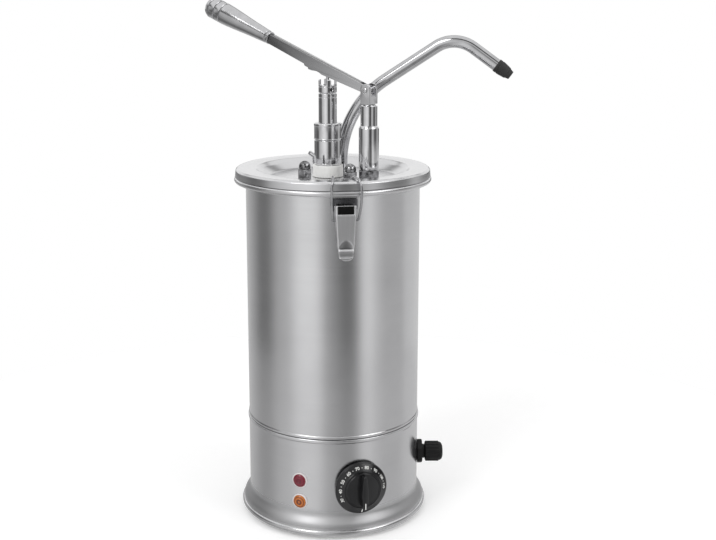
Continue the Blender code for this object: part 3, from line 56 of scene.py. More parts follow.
# Directions that pieces share, then places on the base's side, on the lid and on the jacket, in millimetres.
SPOUT_HEADING = radians(-12.0)
KNOB_AZIMUTH = radians(17.5)
LAMP_AZIMUTH = radians(-22.0)
LATCH_AZIMUTH = radians(7.5)
GLAND_AZIMUTH = radians(90.0)
BASE_RADIUS = 90.2
KNOB_HEIGHT = 53.503
RED_LAMP_HEIGHT = 59.203
AMBER_LAMP_HEIGHT = 36.603
GLAND_HEIGHT = 56.3
LID_SEAT = 358.6
BARREL = (-5.0, 0.0)
PIPE_FOOT = (9.27, 19.79)
POST = (36.42, -29.5)
NUTS = ((-27.89, -39.1, 12.0), (17.74, -34.47, 8.2), (-10.03, 33.02, 12.0))
PIVOT_HEIGHT = 449.7
HEAD_SCREW_HEIGHT, HEAD_SCREW_HEADING = 448.0, radians(-64)
LEVER_HEADING = atan2(BARREL[1] - POST[1], BARREL[0] - POST[0])
LEVER_TILT = radians(-21.6)
LATCH_PIN_REACH, LATCH_PIN_HEIGHT = 96.3, 341.2


# Places

def moved(x, y, z=0.0):
    return Matrix.Translation((x * MM, y * MM, z * MM))


def turned_about(angle, axis):
    return Matrix.Rotation(angle, 4, axis)


def side_place(azimuth, height):
    """The place on the base's side where local Z points straight out and local Y up."""
    heading = azimuth - pi / 2
    spot = moved(BASE_RADIUS * cos(heading), BASE_RADIUS * sin(heading), height)
    return spot @ turned_about(azimuth, 'Z') @ UPRIGHT


UPRIGHT = turned_about(pi / 2, 'X')
LYING = turned_about(pi / 2, 'Y')
FACING_OUT = Matrix(((0.0, 0.0, 1.0, 0.0), (1.0, 0.0, 0.0, 0.0), (0.0, 1.0, 0.0, 0.0), (0.0, 0.0, 0.0, 1.0)))
ON_BARREL = moved(*BARREL)
ON_POST = moved(*POST)
AT_PIVOT = moved(*POST, PIVOT_HEIGHT) @ turned_about(LEVER_HEADING, 'Z')
ON_LEVER = AT_PIVOT @ turned_about(LEVER_TILT, 'Y')
ON_PLUNGER = ON_BARREL @ turned_about(LEVER_HEADING, 'Z')


# Outlines

def arc(x, y, radius, start, end, steps):
    """Points on an arc of an outline, from one angle to another, in degrees."""
    points = []
    for step in range(steps + 1):
        angle = radians(start + (end - start) * step / steps)
        points.append((x + radius * cos(angle), y + radius * sin(angle)))
    return points


def rounded(corners, steps=6):
    """An outline whose corners, given as (x, y) or (x, y, radius), are turned round by true arcs."""
    points = []
    for index, corner in enumerate(corners):
        here = Vector(corner[:2])
        if len(corner) < 3:
            points.append(tuple(here))
            continue
        before = Vector(corners[index - 1][:2]) - here
        after = Vector(corners[(index + 1) % len(corners)][:2]) - here
        half = before.angle(after) / 2
        reach = min(corner[2] / tan(half), 0.49 * before.length, 0.49 * after.length)
        radius = reach * tan(half)
        middle = here + (before.normalized() + after.normalized()).normalized() * (radius / sin(half))
        first = here + before.normalized() * reach - middle
        second = here + after.normalized() * reach - middle
        turn = first.angle_signed(second)
        for step in range(steps + 1):
            share = -turn * step / steps
            points.append((middle.x + first.x * cos(share) - first.y * sin(share),
                middle.y + first.x * sin(share) + first.y * cos(share)))
    return points


def mirrored(half):
    """The corners of a closed outline from those of its right half."""
    return half + [(-x, y, *turn) for x, y, *turn in reversed(half)]


def oblong(left, low, right, high):
    return [(left, low), (right, low), (right, high), (left, high)]


def sheet_section(line, thickness):
    """A sheet's section: its outer line, and the same line moved inwards by the thickness."""
    inner = []
    for index, point in enumerate(line):
        here = Vector(point)
        runs = []
        if index > 0:
            runs.append((here - Vector(line[index - 1])).normalized())
        if index < len(line) - 1:
            runs.append((Vector(line[index + 1]) - here).normalized())
        along = sum(runs, Vector((0.0, 0.0))).normalized()
        stretch = 1.0 / max(0.5, along.dot(runs[0]))
        inner.append((here.x + along.y * thickness * stretch, here.y - along.x * thickness * stretch))
    return list(line) + inner[::-1]


def bent_route(corners, steps=6):
    """A path in space whose corners, given as (x, y, z, radius), are bent round."""
    route = [corners[0][:3]]
    for before, corner, after in zip(corners, corners[1:], corners[2:]):
        here = Vector(corner[:3])
        back = Vector(before[:3]) - here
        ahead = Vector(after[:3]) - here
        reach = min(corner[3], 0.49 * back.length, 0.49 * ahead.length)
        start = here + back.normalized() * reach
        end = here + ahead.normalized() * reach
        for step in range(steps + 1):
            share = step / steps
            route.append(tuple(start.lerp(here, share).lerp(here.lerp(end, share), share)))
    route.append(corners[-1][:3])
    return route


# Meshes

def shown(name, data):
    """An object in the scene that carries the given data."""
    thing = bpy.data.objects.new(name, data)
    bpy.context.scene.collection.objects.link(thing)
    return thing


def outcome(thing, *tools):
    """The mesh that an object's modifiers come to. The object and its tools are then taken away."""
    bpy.context.view_layer.update()
    mesh = bpy.data.meshes.new_from_object(thing.evaluated_get(bpy.context.evaluated_depsgraph_get()))
    for spent in (thing, *tools):
        bpy.data.objects.remove(spent, do_unlink=True)
    return mesh


def mesh_from(builder):
    mesh = bpy.data.meshes.new("form")
    builder.to_mesh(mesh)
    builder.free()
    return mesh


def closed_mesh(builder, place=None):
    """Closes a bmesh into a mesh, welded, facing out and moved to its place."""
    bmesh.ops.remove_doubles(builder, verts=builder.verts, dist=0.002 * MM)
    bmesh.ops.recalc_face_normals(builder, faces=builder.faces)
    if place is not None:
        bmesh.ops.transform(builder, matrix=place, verts=builder.verts)
    return mesh_from(builder)


def turned_mesh(outline, steps, place=None):
    """A turned form: a closed outline of (radius, height) in millimetres, spun round local Z."""
    builder = bmesh.new()
    rings = []
    for radius, height in outline:
        if radius < 0.001:
            rings.append([builder.verts.new((0.0, 0.0, height * MM))] * steps)
            continue
        angles = [tau * step / steps for step in range(steps)]
        spots = [(radius * MM * cos(angle), radius * MM * sin(angle), height * MM) for angle in angles]
        rings.append([builder.verts.new(spot) for spot in spots])
    for upper, lower in zip(rings, rings[1:] + rings[:1]):
        for step in range(steps):
            following = (step + 1) % steps
            corners = list(dict.fromkeys((upper[step], upper[following], lower[following], lower[step])))
            if len(corners) > 2:
                builder.faces.new(corners)
    return closed_mesh(builder, place)


def extruded_mesh(outline, low, high, place=None, ease=0.0, steps=3):
    """An outline in local XY, in millimetres, extruded along local Z, with its edges rounded."""
    builder = bmesh.new()
    base = builder.faces.new([builder.verts.new((x * MM, y * MM, low * MM)) for x, y in outline])
    grown_part = bmesh.ops.extrude_face_region(builder, geom=[base])["geom"]
    risen = [item for item in grown_part if isinstance(item, bmesh.types.BMVert)]
    bmesh.ops.translate(builder, verts=risen, vec=(0.0, 0.0, (high - low) * MM))
    bmesh.ops.recalc_face_normals(builder, faces=builder.faces)
    if ease > 0.0:
        sharp = [edge for edge in builder.edges if edge.calc_face_angle(0.0) > radians(25)]
        bmesh.ops.bevel(builder, geom=sharp, offset=ease * MM, segments=steps, profile=0.5, affect='EDGES',
            clamp_overlap=True)
    return closed_mesh(builder, place)


def joined(*meshes):
    """Several meshes as one."""
    builder = bmesh.new()
    for mesh in meshes:
        builder.from_mesh(mesh)
    return mesh_from(builder)


def carved(mesh, cutter, operation='DIFFERENCE'):
    """A mesh with another taken out of it or added to it."""
    subject, tool = shown("subject", mesh), shown("tool", cutter)
    step = subject.modifiers.new("Carve", 'BOOLEAN')
    step.operation = operation
    step.solver = 'EXACT'
    step.object = tool
    return outcome(subject, tool)


def drill(radius, high, low, place):
    """A plain round cutter."""
    return turned_mesh([(0.0, high), (radius, high), (radius, low), (0.0, low)], 40, place)


def hex_mesh(flats, low, high, place, chamfer=0.9, under=0.5):
    """A hexagonal prism whose corners are turned off in cones above and below."""
    corner = flats / sqrt(3)
    hexagon = [(corner * cos(pi / 6 + tau * side / 6), corner * sin(pi / 6 + tau * side / 6)) for side in range(6)]
    cone = turned_mesh([(0.0, high), (corner - chamfer * 1.6, high), (corner + 0.2, high - chamfer * 1.3),
        (corner + 0.2, low + under * 1.3), (corner - under * 1.6, low), (0.0, low)], 72)
    whole = carved(extruded_mesh(hexagon, low, high, ease=0.12, steps=2), cone, 'INTERSECT')
    whole.transform(place)
    return whole


# Finishes

def put(tree, kind, sockets=None, **settings):
    """Adds a node, sets its settings, and fills its sockets with values or links."""
    node = tree.nodes.new(kind)
    for key, value in settings.items():
        setattr(node, key, value)
    for key, value in (sockets or {}).items():
        if isinstance(value, bpy.types.NodeSocket):
            tree.links.new(value, node.inputs[key])
        else:
            node.inputs[key].default_value = value
    return node


def made(tree, kind, sockets=None, **settings):
    """Adds a node, and gives its first output."""
    return put(tree, kind, sockets, **settings).outputs[0]


def number(tree, operation, *values):
    """A number worked out from others."""
    return made(tree, "ShaderNodeMath", dict(enumerate(values)), operation=operation)


def vector(tree, operation, *values):
    """A vector worked out from others."""
    return made(tree, "ShaderNodeVectorMath", dict(enumerate(values)), operation=operation)


def length_of(tree, line):
    return put(tree, "ShaderNodeVectorMath", {0: line}, operation='LENGTH').outputs["Value"]


def height_of(tree, place):
    return put(tree, "ShaderNodeSeparateXYZ", {0: place}).outputs["Z"]


def ranged(tree, value, first=0.0, last=1.0, low=0.0, high=1.0):
    """Carries a value from one range to another, and holds it at their ends."""
    return made(tree, "ShaderNodeMapRange", {0: value, 1: first, 2: last, 3: low, 4: high})


def blended(tree, share, first, second):
    return made(tree, "ShaderNodeMixRGB", {0: share, 1: first, 2: second})


def ramp(tree, share, stops):
    """Colours along a ramp, from stops of a position and a tint or a grey level."""
    node = put(tree, "ShaderNodeValToRGB", {0: share})
    points = node.color_ramp.elements
    points[0].position, points[1].position = stops[0][0], stops[-1][0]
    for position, _ in stops[1:-1]:
        points.new(position)
    for index, (_, tint) in enumerate(stops):
        points[index].color = (*tint, 1.0) if isinstance(tint, tuple) else (tint, tint, tint, 1.0)
    return node.outputs[0]


def object_place(tree, stretch=(1.0, 1.0, 1.0)):
    place = put(tree, "ShaderNodeTexCoord").outputs["Object"]
    return made(tree, "ShaderNodeMapping", {"Vector": place, "Scale": stretch})


def ring_place(tree, fine):
    """Coordinates that hold still round the Z axis, so that a grain runs in rings."""
    place = object_place(tree)
    split = put(tree, "ShaderNodeSeparateXYZ", {0: place}).outputs
    turn = number(tree, 'ARCTAN2', split["Y"], split["X"])
    reach = length_of(tree, vector(tree, 'MULTIPLY', place, (1.0, 1.0, 0.0)))
    parts = ((turn, 0.9), (reach, fine), (split["Z"], fine))
    scaled = [number(tree, 'MULTIPLY', value, times) for value, times in parts]
    return made(tree, "ShaderNodeCombineXYZ", dict(enumerate(scaled)))


def noise(tree, scale, detail=2.0, rough=0.5, place=None):
    place = place or object_place(tree)
    return made(tree, "ShaderNodeTexNoise", {"Vector": place, "Scale": scale, "Detail": detail, "Roughness": rough})


def new_finish(name, **constants):
    """A material with a bare Principled shader, whose constants sit on its own sockets."""
    material = bpy.data.materials.new(name)
    material.use_nodes = True
    tree = material.node_tree
    shader = tree.nodes["Principled BSDF"]
    for key, value in constants.items():
        shader.inputs[key.replace("_", " ")].default_value = value
    return material, tree, shader


def feed(tree, shader, tint, cloud, rough_low, rough_high, height, bump, depth=0.0001):
    """Feeds a shader with its tint, a roughness that drifts with a cloud, and the height of its skin."""
    rough = ranged(tree, cloud, low=rough_low, high=rough_high)
    raised = made(tree, "ShaderNodeBump", {"Strength": bump, "Distance": depth, "Height": height})
    for socket, source in (("Base Color", tint), ("Roughness", rough), ("Normal", raised)):
        tree.links.new(source, shader.inputs[socket])


def tinted(tree, cloud, dark, light):
    return ramp(tree, cloud, ((0.3, dark), (0.7, light)))


def cool(level):
    """The faintly blue grey of steel."""
    return (level, level, level + 0.01)


def brushed_steel(name, dark, light, rough_low, rough_high, grain='ring', fine=2600.0):
    """Stainless sheet with a fine grain: rings round the axis, or straight lines along X, Y or Z."""
    material, tree, shader = new_finish(name, Metallic=1.0)
    if grain == 'ring':
        place = ring_place(tree, fine)
    else:
        stretch = [fine, fine, fine]
        stretch['xyz'.index(grain)] = fine * 0.01
        place = object_place(tree, stretch)
    lines = noise(tree, 1.0, 3.0, 0.62, place)
    mixed = number(tree, 'MULTIPLY', number(tree, 'ADD', lines, noise(tree, 22.0)), 0.5)
    feed(tree, shader, tinted(tree, mixed, cool(dark), cool(light)), mixed, rough_low, rough_high, lines, 0.06)
    return material


def polished_steel(name, dark=0.62, light=0.72, rough_low=0.05, rough_high=0.13, smears=90.0, shade=cool):
    """Bright steel, uneven from the buffing wheel, with faint hairlines. The dark level gets its tint from shade."""
    material, tree, shader = new_finish(name, Metallic=1.0)
    smear = noise(tree, smears, 3.0)
    hair = noise(tree, 1.0, place=object_place(tree, (2400.0, 2400.0, 90.0)))
    feed(tree, shader, tinted(tree, smear, shade(dark), cool(light)), smear, rough_low, rough_high, hair, 0.03)
    return material


def moulded(name, dark, light, rough_low, rough_high, scale=900.0, bump=0.1, **constants):
    """Moulded plastic or rubber with a spark-eroded skin."""
    material, tree, shader = new_finish(name, Coat_Roughness=0.12, **constants)
    skin = noise(tree, scale, 3.0)
    cloud = noise(tree, 60.0)
    feed(tree, shader, tinted(tree, cloud, dark, light), cloud, rough_low, rough_high, skin, bump)
    return material


def lamp_lens(name, height, *tints):
    """A coloured signal lens with rings moulded round its middle, and a faint glow."""
    material, tree, shader = new_finish(name, Transmission_Weight=0.15, Coat_Weight=0.25, Coat_Roughness=0.05,
        Emission_Color=(*tints[2], 1.0), Emission_Strength=0.03)
    place = side_place(LAMP_AZIMUTH, height)
    axis = place.to_3x3() @ Vector((0.0, 0.0, 1.0))
    away = vector(tree, 'SUBTRACT', object_place(tree), tuple(place.translation))
    reach = length_of(tree, vector(tree, 'CROSS_PRODUCT', away, tuple(axis)))
    cells = made(tree, "ShaderNodeTexVoronoi", {"Vector": object_place(tree), "Scale": 520.0})
    cloud = noise(tree, 260.0)
    bent = number(tree, 'ADD', reach, ranged(tree, cloud, low=-0.0005, high=0.0005))
    rings = ((0.0, 0), (0.12, 0), (0.26, 1), (0.38, 1), (0.5, 2), (0.62, 0), (0.74, 1), (0.86, 2), (1.0, 0))
    tint = ramp(tree, ranged(tree, bent, 0.0, 0.007), [(position, tints[ring]) for position, ring in rings])
    feed(tree, shader, tint, cloud, 0.16, 0.3, cells, 0.15, 0.0002)
    return material


body_steel = brushed_steel("body_steel", 0.6, 0.69, 0.19, 0.27)
lid_steel = brushed_steel("lid_steel", 0.62, 0.72, 0.15, 0.24, fine=2000.0)
latch_steel = brushed_steel("latch_steel", 0.64, 0.78, 0.36, 0.48, grain='z')
# The latch bases' steel is painted near black: painted shade and painted dark reflection on their plates.
latch_base_shaded_steel = brushed_steel("latch_base_shaded_steel", 0.12, 0.2, 0.22, 0.32, grain='z')
lever_steel = brushed_steel("lever_steel", 0.56, 0.64, 0.16, 0.26, grain='x')
bright_steel = polished_steel("bright_steel")
# The nuts' steel is smeared down to near black: painted dark reflections on the domed nuts and the post's foot nut.
nut_dark_reflection_steel = polished_steel("nut_dark_reflection_steel", 0.05, 0.46, 0.05, 0.12, smears=210.0, shade=float)
grip_steel = polished_steel("grip_steel", 0.5, 0.6, 0.1, 0.2)
pipe_steel = polished_steel("pipe_steel", 0.46, 0.58)
wire_steel = polished_steel("wire_steel", 0.34, 0.5, 0.1, 0.2)
spring_wire = polished_steel("spring_wire", 0.36, 0.48, 0.18, 0.3)
knob_black = moulded("knob_black", (0.006, 0.006, 0.007), (0.012, 0.012, 0.013), 0.2, 0.3, Coat_Weight=0.15,
    Specular_IOR_Level=0.38)
gland_black = moulded("gland_black", 0.006, 0.013, 0.4, 0.54, bump=0.25, Specular_IOR_Level=0.22)
# A near-black finish for the plates that stand as painted shade in the latch levers' windows.
window_shade_black = moulded("window_shade_black", 0.003, 0.006, 0.75, 0.9, bump=0.2, Specular_IOR_Level=0.08)
inner_black = moulded("inner_black", 0.015, 0.03, 0.4, 0.55)
nozzle_rubber = moulded("nozzle_rubber", 0.012, 0.022, 0.55, 0.72, bump=0.3)
foot_rubber = moulded("foot_rubber", 0.02, 0.04, 0.65, 0.85, bump=0.3)
collar_white = moulded("collar_white", (0.9, 0.9, 0.88), (0.96, 0.96, 0.94), 0.34, 0.46)
bezel_pale = moulded("bezel_pale", (0.66, 0.62, 0.62), (0.78, 0.74, 0.74), 0.3, 0.42)
dial_print = moulded("dial_print", (0.74, 0.74, 0.72), (0.84, 0.84, 0.82), 0.5, 0.6)
seal_silicone = moulded("seal_silicone", (0.62, 0.62, 0.58), (0.72, 0.72, 0.68), 0.5, 0.65)
cast_plate = moulded("cast_plate", (0.52, 0.52, 0.53), (0.64, 0.64, 0.65), 0.4, 0.55, scale=500.0, bump=0.35,
    Metallic=1.0)
terminal_ceramic = moulded("terminal_ceramic", (0.76, 0.74, 0.68), (0.86, 0.84, 0.79), 0.45, 0.6)
red_lens = lamp_lens("red_lens", RED_LAMP_HEIGHT, (0.17, 0.006, 0.022), (0.12, 0.005, 0.02), (0.24, 0.012, 0.03))
amber_lens = lamp_lens("amber_lens", AMBER_LAMP_HEIGHT, (0.5, 0.14, 0.02), (0.12, 0.022, 0.008), (0.62, 0.18, 0.02))


def multiply(material, socket, factor):
    """Multiplies what feeds a socket of the shader by a factor."""
    tree = material.node_tree
    fed = tree.nodes["Principled BSDF"].inputs[socket]
    tree.links.new(vector(tree, 'MULTIPLY', fed.links[0].from_socket, factor), fed)


def shade_by_height(material, socket, stops, tallest=400.0):
    """Multiplies a socket by a factor that follows the height, given as stops of (millimetres, factor)."""
    tree = material.node_tree
    share = ranged(tree, height_of(tree, object_place(tree)), 0.0, tallest * MM)
    stops = ((0.0, stops[0][1]), *stops, (tallest, stops[-1][1]))
    multiply(material, socket, ramp(tree, share, [(height / tallest, level) for height, level in stops]))


def duller_beyond(material, reach, times):
    """Makes a finish duller farther from the axis than the given distance."""
    tree = material.node_tree
    away = length_of(tree, object_place(tree, (1.0, 1.0, 0.0)))
    multiply(material, "Roughness", ranged(tree, away, reach * MM, (reach + 1.0) * MM, 1.0, times))


def painted_dimple_shade(material, height, half_width, half_height, level):
    """Paints shade into the half oval of the latch levers' dimple, above the given height on the latches' line."""
    tree = material.node_tree
    turned = made(tree, "ShaderNodeVectorRotate", {"Vector": object_place(tree), "Angle": -LATCH_AZIMUTH},
        rotation_type='Z_AXIS')
    centred = vector(tree, 'SUBTRACT', turned, (0.0, 0.0, height * MM))
    oval = vector(tree, 'MULTIPLY', centred, (1.0 / (half_width * MM), 0.0, 1.0 / (half_height * MM)))
    inside = ranged(tree, length_of(tree, oval), 0.8, 1.0, level, 1.0)
    below = ranged(tree, height_of(tree, centred), 0.0, 0.4 * MM, 1.0, 0.0)
    multiply(material, "Base Color", number(tree, 'MAXIMUM', inside, below))


# The lid's turned-down edge is duller than its top. The flare of the base is duller too, and painted shade
# darkens its colour there.
duller_beyond(lid_steel, 99.2, 1.5)
shade_by_height(body_steel, "Base Color", ((9.5, 1.0), (12.0, 0.76), (22.0, 0.78), (30.0, 1.0)))
shade_by_height(body_steel, "Roughness", ((12.0, 1.0), (13.0, 1.9), (24.0, 1.9), (30.0, 1.0)))
# The latch's lever carries painted shade on its lip, a painted highlight on the fold above it and on its top round the
# window, and is a little darker on the plate between.
shade_by_height(latch_steel, "Base Color", ((293.2, 1.0), (294.4, 0.62), (299.8, 0.66), (300.4, 1.15), (302.4, 1.15),
    (303.2, 0.92), (334.5, 0.9), (335.6, 1.1)))
painted_dimple_shade(latch_steel, 302.6, 7.2, 8.9, 0.4)
# The lever carries a painted highlight by its pivot and painted shade that darkens it towards its grip.
shade_by_height(lever_steel, "Base Color", ((446.0, 1.12), (462.0, 1.0), (480.0, 0.74), (500.0, 0.52)), 600.0)

# The nodes that stay in view, apart from those of bright steel.
DRESSED = {
    "bottom_cover": body_steel, "heat_shield": body_steel, "mount_plate": lid_steel, "lid_gasket": seal_silicone,
    "heater_plate": cast_plate, "heating_element": spring_wire, "thermostat": inner_black,
    "lamp_body_red": inner_black, "lamp_body_amber": inner_black, "terminal_block": terminal_ceramic,
    "return_spring": spring_wire, "piston": collar_white, "piston_seal": seal_silicone, "pump_foot": collar_white,
    "gland_locknut": gland_black,
}
for node_name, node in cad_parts.items():
    node.data.materials.clear()
    node.data.materials.append(DRESSED.get(node_name, bright_steel))


def new_piece(name, mesh, finish, *nodes, body="vessel", crease=32.0):
    """Puts a finished mesh in the scene, on its body, in place of its nodes."""
    mesh.name = name
    mesh.materials.clear()
    mesh.materials.append(finish)
    mesh.shade_smooth()
    mesh.set_sharp_from_angle(angle=radians(crease))
    piece = shown(name, mesh)
    if nodes:
        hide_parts(*nodes)
    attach(piece, body)


# Geometry trees for what repeats, follows a path or goes round the axis

def form_tree(name, **inputs):
    """An empty geometry tree with a form and its named values as inputs."""
    tree = bpy.data.node_groups.new(name, 'GeometryNodeTree')
    for label, kind in {"Form": 'Geometry', **inputs}.items():
        tree.interface.new_socket(label, in_out='INPUT', socket_type='NodeSocket' + kind)
    tree.interface.new_socket("Form", in_out='OUTPUT', socket_type='NodeSocketGeometry')
    return tree, put(tree, 'NodeGroupInput').outputs


def close_tree(tree, form):
    put(tree, 'NodeGroupOutput', {"Form": made(tree, 'GeometryNodeRealizeInstances', {"Geometry": form})})
    return tree


def bar_along_path():
    """A round bar along a path of edges, with its ends closed."""
    tree, given = form_tree("bar_along_path", Radius='Float', Sides='Int')
    path = made(tree, 'GeometryNodeMeshToCurve', {"Mesh": given["Form"]})
    ring = made(tree, 'GeometryNodeCurvePrimitiveCircle', {"Resolution": given["Sides"], "Radius": given["Radius"]})
    swept = made(tree, 'GeometryNodeCurveToMesh', {"Curve": path, "Profile Curve": ring, "Fill Caps": True})
    return close_tree(tree, swept)


def section_round_axis():
    """A closed section carried round a ring, for shells that have no pole."""
    tree, given = form_tree("section_round_axis", Reach='Float', Steps='Int')
    section = made(tree, 'GeometryNodeMeshToCurve', {"Mesh": given["Form"]})
    ring = made(tree, 'GeometryNodeCurvePrimitiveCircle', {"Resolution": given["Steps"], "Radius": given["Reach"]})
    return close_tree(tree, made(tree, 'GeometryNodeCurveToMesh', {"Curve": ring, "Profile Curve": section}))


def row_round_axis():
    """Copies of a form round the axis, each turned to face out."""
    tree, given = form_tree("row_round_axis", Count='Int', Reach='Float', First='Float', Pitch='Float')
    line = made(tree, 'GeometryNodeMeshLine', {"Count": given["Count"], "Offset": (0.0, 0.0, 0.0)})
    turn = number(tree, 'MULTIPLY_ADD', made(tree, 'GeometryNodeInputIndex'), given["Pitch"], given["First"])
    across, along = [number(tree, 'MULTIPLY', number(tree, operation, turn), given["Reach"])
        for operation in ('COSINE', 'SINE')]
    spot = made(tree, 'ShaderNodeCombineXYZ', {0: across, 1: along})
    points = made(tree, 'GeometryNodeSetPosition', {"Geometry": line, "Position": spot})
    facing = made(tree, 'FunctionNodeEulerToRotation', {"Euler": made(tree, 'ShaderNodeCombineXYZ', {2: turn})})
    row = made(tree, 'GeometryNodeInstanceOnPoints', {"Points": points, "Instance": given["Form"], "Rotation": facing})
    return close_tree(tree, row)


BAR_ALONG_PATH = bar_along_path()
SECTION_ROUND_AXIS = section_round_axis()
ROW_ROUND_AXIS = row_round_axis()


def grown(tree, start, place=None, **values):
    """A plain mesh made by a geometry tree from a starting mesh, with its inputs set by name."""
    holder = shown("grown", start)
    step = holder.modifiers.new("Form", 'NODES')
    step.node_group = tree
    for socket in tree.interface.items_tree:
        if socket.in_out == 'INPUT' and socket.name in values:
            step[socket.identifier] = values[socket.name]
    builder = bmesh.new()
    builder.from_mesh(outcome(holder))
    return closed_mesh(builder, place)


def line_mesh(points, closed=False):
    """A path of edges through points in millimetres."""
    mesh = bpy.data.meshes.new("line")
    links = [(index, index + 1) for index in range(len(points) - 1)]
    if closed:
        links.append((len(points) - 1, 0))
    mesh.from_pydata([tuple(value * MM for value in point) for point in points], links, [])
    return mesh


def bar_mesh(route, radius, sides):
    return grown(BAR_ALONG_PATH, line_mesh(route), Radius=radius * MM, Sides=sides)


def ring_shell(outline, steps, place=None):
    """A closed section of (radius, height) in millimetres, carried round local Z."""
    middle = sum(radius for radius, _ in outline) / len(outline)
    section = line_mesh([(radius - middle, -height, 0.0) for radius, height in outline], True)
    return grown(SECTION_ROUND_AXIS, section, place, Reach=middle * MM, Steps=steps)


def row_mesh(start, count, reach, first, pitch, place=None):
    return grown(ROW_ROUND_AXIS, start, place, Count=count, Reach=reach * MM, First=first, Pitch=pitch)


# Camera, floor and light

def stand_camera():
    lens = bpy.data.cameras.new("camera")
    lens.sensor_width = SENSOR_WIDTH
    lens.lens = FOCAL_PIXELS / PICTURE_WIDTH * SENSOR_WIDTH
    lens.shift_x, lens.shift_y = CAMERA_SHIFT
    camera = shown("camera", lens)
    camera.location = CAMERA_SPOT
    camera.rotation_mode = 'XYZ'
    level = turned_about(CAMERA_TURN, 'Z') @ turned_about(pi / 2 - CAMERA_DIP, 'X')
    camera.rotation_euler = (level @ turned_about(CAMERA_ROLL, 'Z')).to_euler()
    bpy.context.scene.camera = camera


def seen_by(tree):
    """1 for rays that come from the camera, from bright metal or through glass, else 0."""
    path = put(tree, "ShaderNodeLightPath").outputs
    return number(tree, 'MAXIMUM', number(tree, 'MAXIMUM', path["Is Camera Ray"], path["Is Glossy Ray"]),
        path["Is Transmission Ray"])


def lay_floor():
    """A pale disc that fades into the white background at its rim, so that no horizon shows."""
    builder = bmesh.new()
    bmesh.ops.create_circle(builder, cap_ends=True, segments=96, radius=FLOOR_RADIUS)
    floor = shown("floor", mesh_from(builder))
    material, tree, shader = new_finish("floor_white", Roughness=0.9, Emission_Color=(1.0, 1.0, 1.0, 1.0))
    glossy = put(tree, "ShaderNodeLightPath").outputs["Is Glossy Ray"]
    tint = blended(tree, glossy, (0.92, 0.92, 0.92, 1.0), (0.44, 0.44, 0.44, 1.0))
    tree.links.new(tint, shader.inputs["Base Color"])
    tree.links.new(number(tree, 'MULTIPLY', seen_by(tree), 0.16), shader.inputs["Emission Strength"])
    rim = ranged(tree, length_of(tree, object_place(tree)), 0.3, 0.8)
    fade = number(tree, 'MAXIMUM', rim, number(tree, 'MULTIPLY', glossy, 0.55))
    clear = made(tree, "ShaderNodeBsdfTransparent")
    faded = made(tree, "ShaderNodeMixShader", {0: fade, 1: shader.outputs[0], 2: clear})
    tree.links.new(faded, tree.nodes["Material Output"].inputs["Surface"])
    floor.data.materials.append(material)


# The studio's flags: how light the shell round the object is, by the share of a turn from the camera's side
# to the left and on round. The lower band shows in the vessel's side, the upper one in the pump.
LOWER_BAND = ((0.0, 0.34), (0.024, 0.44), (0.044, 0.76), (0.066, 0.98), (0.12, 0.98), (0.145, 0.8), (0.166, 0.6),
    (0.215, 0.5), (0.245, 0.3), (0.268, 0.2), (0.31, 0.22), (0.36, 0.44), (0.455, 0.66), (0.6, 0.74), (0.69, 0.7),
    (0.715, 0.54), (0.8, 0.53), (0.835, 0.68), (0.862, 0.92), (0.888, 0.88), (0.905, 0.5), (0.925, 0.18),
    (0.956, 0.15), (0.975, 0.24), (1.0, 0.34))
UPPER_BAND = ((0.0, 0.45), (0.03, 0.8), (0.06, 1.0), (0.1, 0.95), (0.148, 0.78), (0.196, 0.6), (0.207, 0.56),
    (0.23, 0.16), (0.29, 0.12), (0.34, 0.26), (0.4, 0.14), (0.47, 0.2), (0.5, 0.35), (0.56, 0.15), (0.635, 0.12),
    (0.66, 0.3), (0.69, 0.6), (0.715, 0.55), (0.735, 0.22), (0.78, 0.12), (0.835, 0.2), (0.858, 0.55), (0.875, 0.66),
    (0.905, 0.55), (0.925, 0.12), (0.978, 0.08), (1.0, 0.45))
# The same overhead, by the share of half a turn from the back, over the top, to the camera's side.
OVERHEAD = ((0.0, 0.3), (0.15, 0.26), (0.225, 0.26), (0.25, 0.95), (0.6, 1.0), (0.635, 0.12), (0.7, 0.12),
    (0.735, 0.75), (0.8, 0.75), (0.9, 0.45), (1.0, 0.45))


def stand_flags():
    """A white shell with dark flags round the object, seen only by bright surfaces."""
    builder = bmesh.new()
    bmesh.ops.create_uvsphere(builder, u_segments=96, v_segments=48, radius=SHELL_RADIUS)
    flags = shown("studio_flags", mesh_from(builder))
    material, tree, shader = new_finish("studio_flags")
    tree.nodes.remove(shader)
    way = vector(tree, 'NORMALIZE', object_place(tree))
    split = put(tree, "ShaderNodeSeparateXYZ", {0: way}).outputs
    share = ranged(tree, number(tree, 'ARCTAN2', split["X"], split["Y"]), -pi, pi)
    over = ranged(tree, number(tree, 'ARCTAN2', split["Z"], split["Y"]), 0.0, pi)
    rise = number(tree, 'ARCSINE', split["Z"])
    away = number(tree, 'ABSOLUTE', number(tree, 'SUBTRACT', share, 0.5))
    behind = number(tree, 'MULTIPLY', ranged(tree, rise, 0.12, 0.18), ranged(tree, away, 0.17, 0.12))
    lower, upper = ramp(tree, share, LOWER_BAND), ramp(tree, share, UPPER_BAND)
    tone = blended(tree, ranged(tree, rise, -0.035, 0.005), lower, upper)
    tone = blended(tree, behind, tone, (1.0, 1.0, 1.0, 1.0))
    tone = blended(tree, ranged(tree, rise, 0.52, 0.6), tone, ramp(tree, over, OVERHEAD))
    glow = made(tree, "ShaderNodeEmission", {"Color": tone, "Strength": 1.0})
    tree.links.new(glow, tree.nodes["Material Output"].inputs["Surface"])
    flags.data.materials.append(material)
    flags.visible_camera = flags.visible_diffuse = flags.visible_transmission = flags.visible_shadow = False


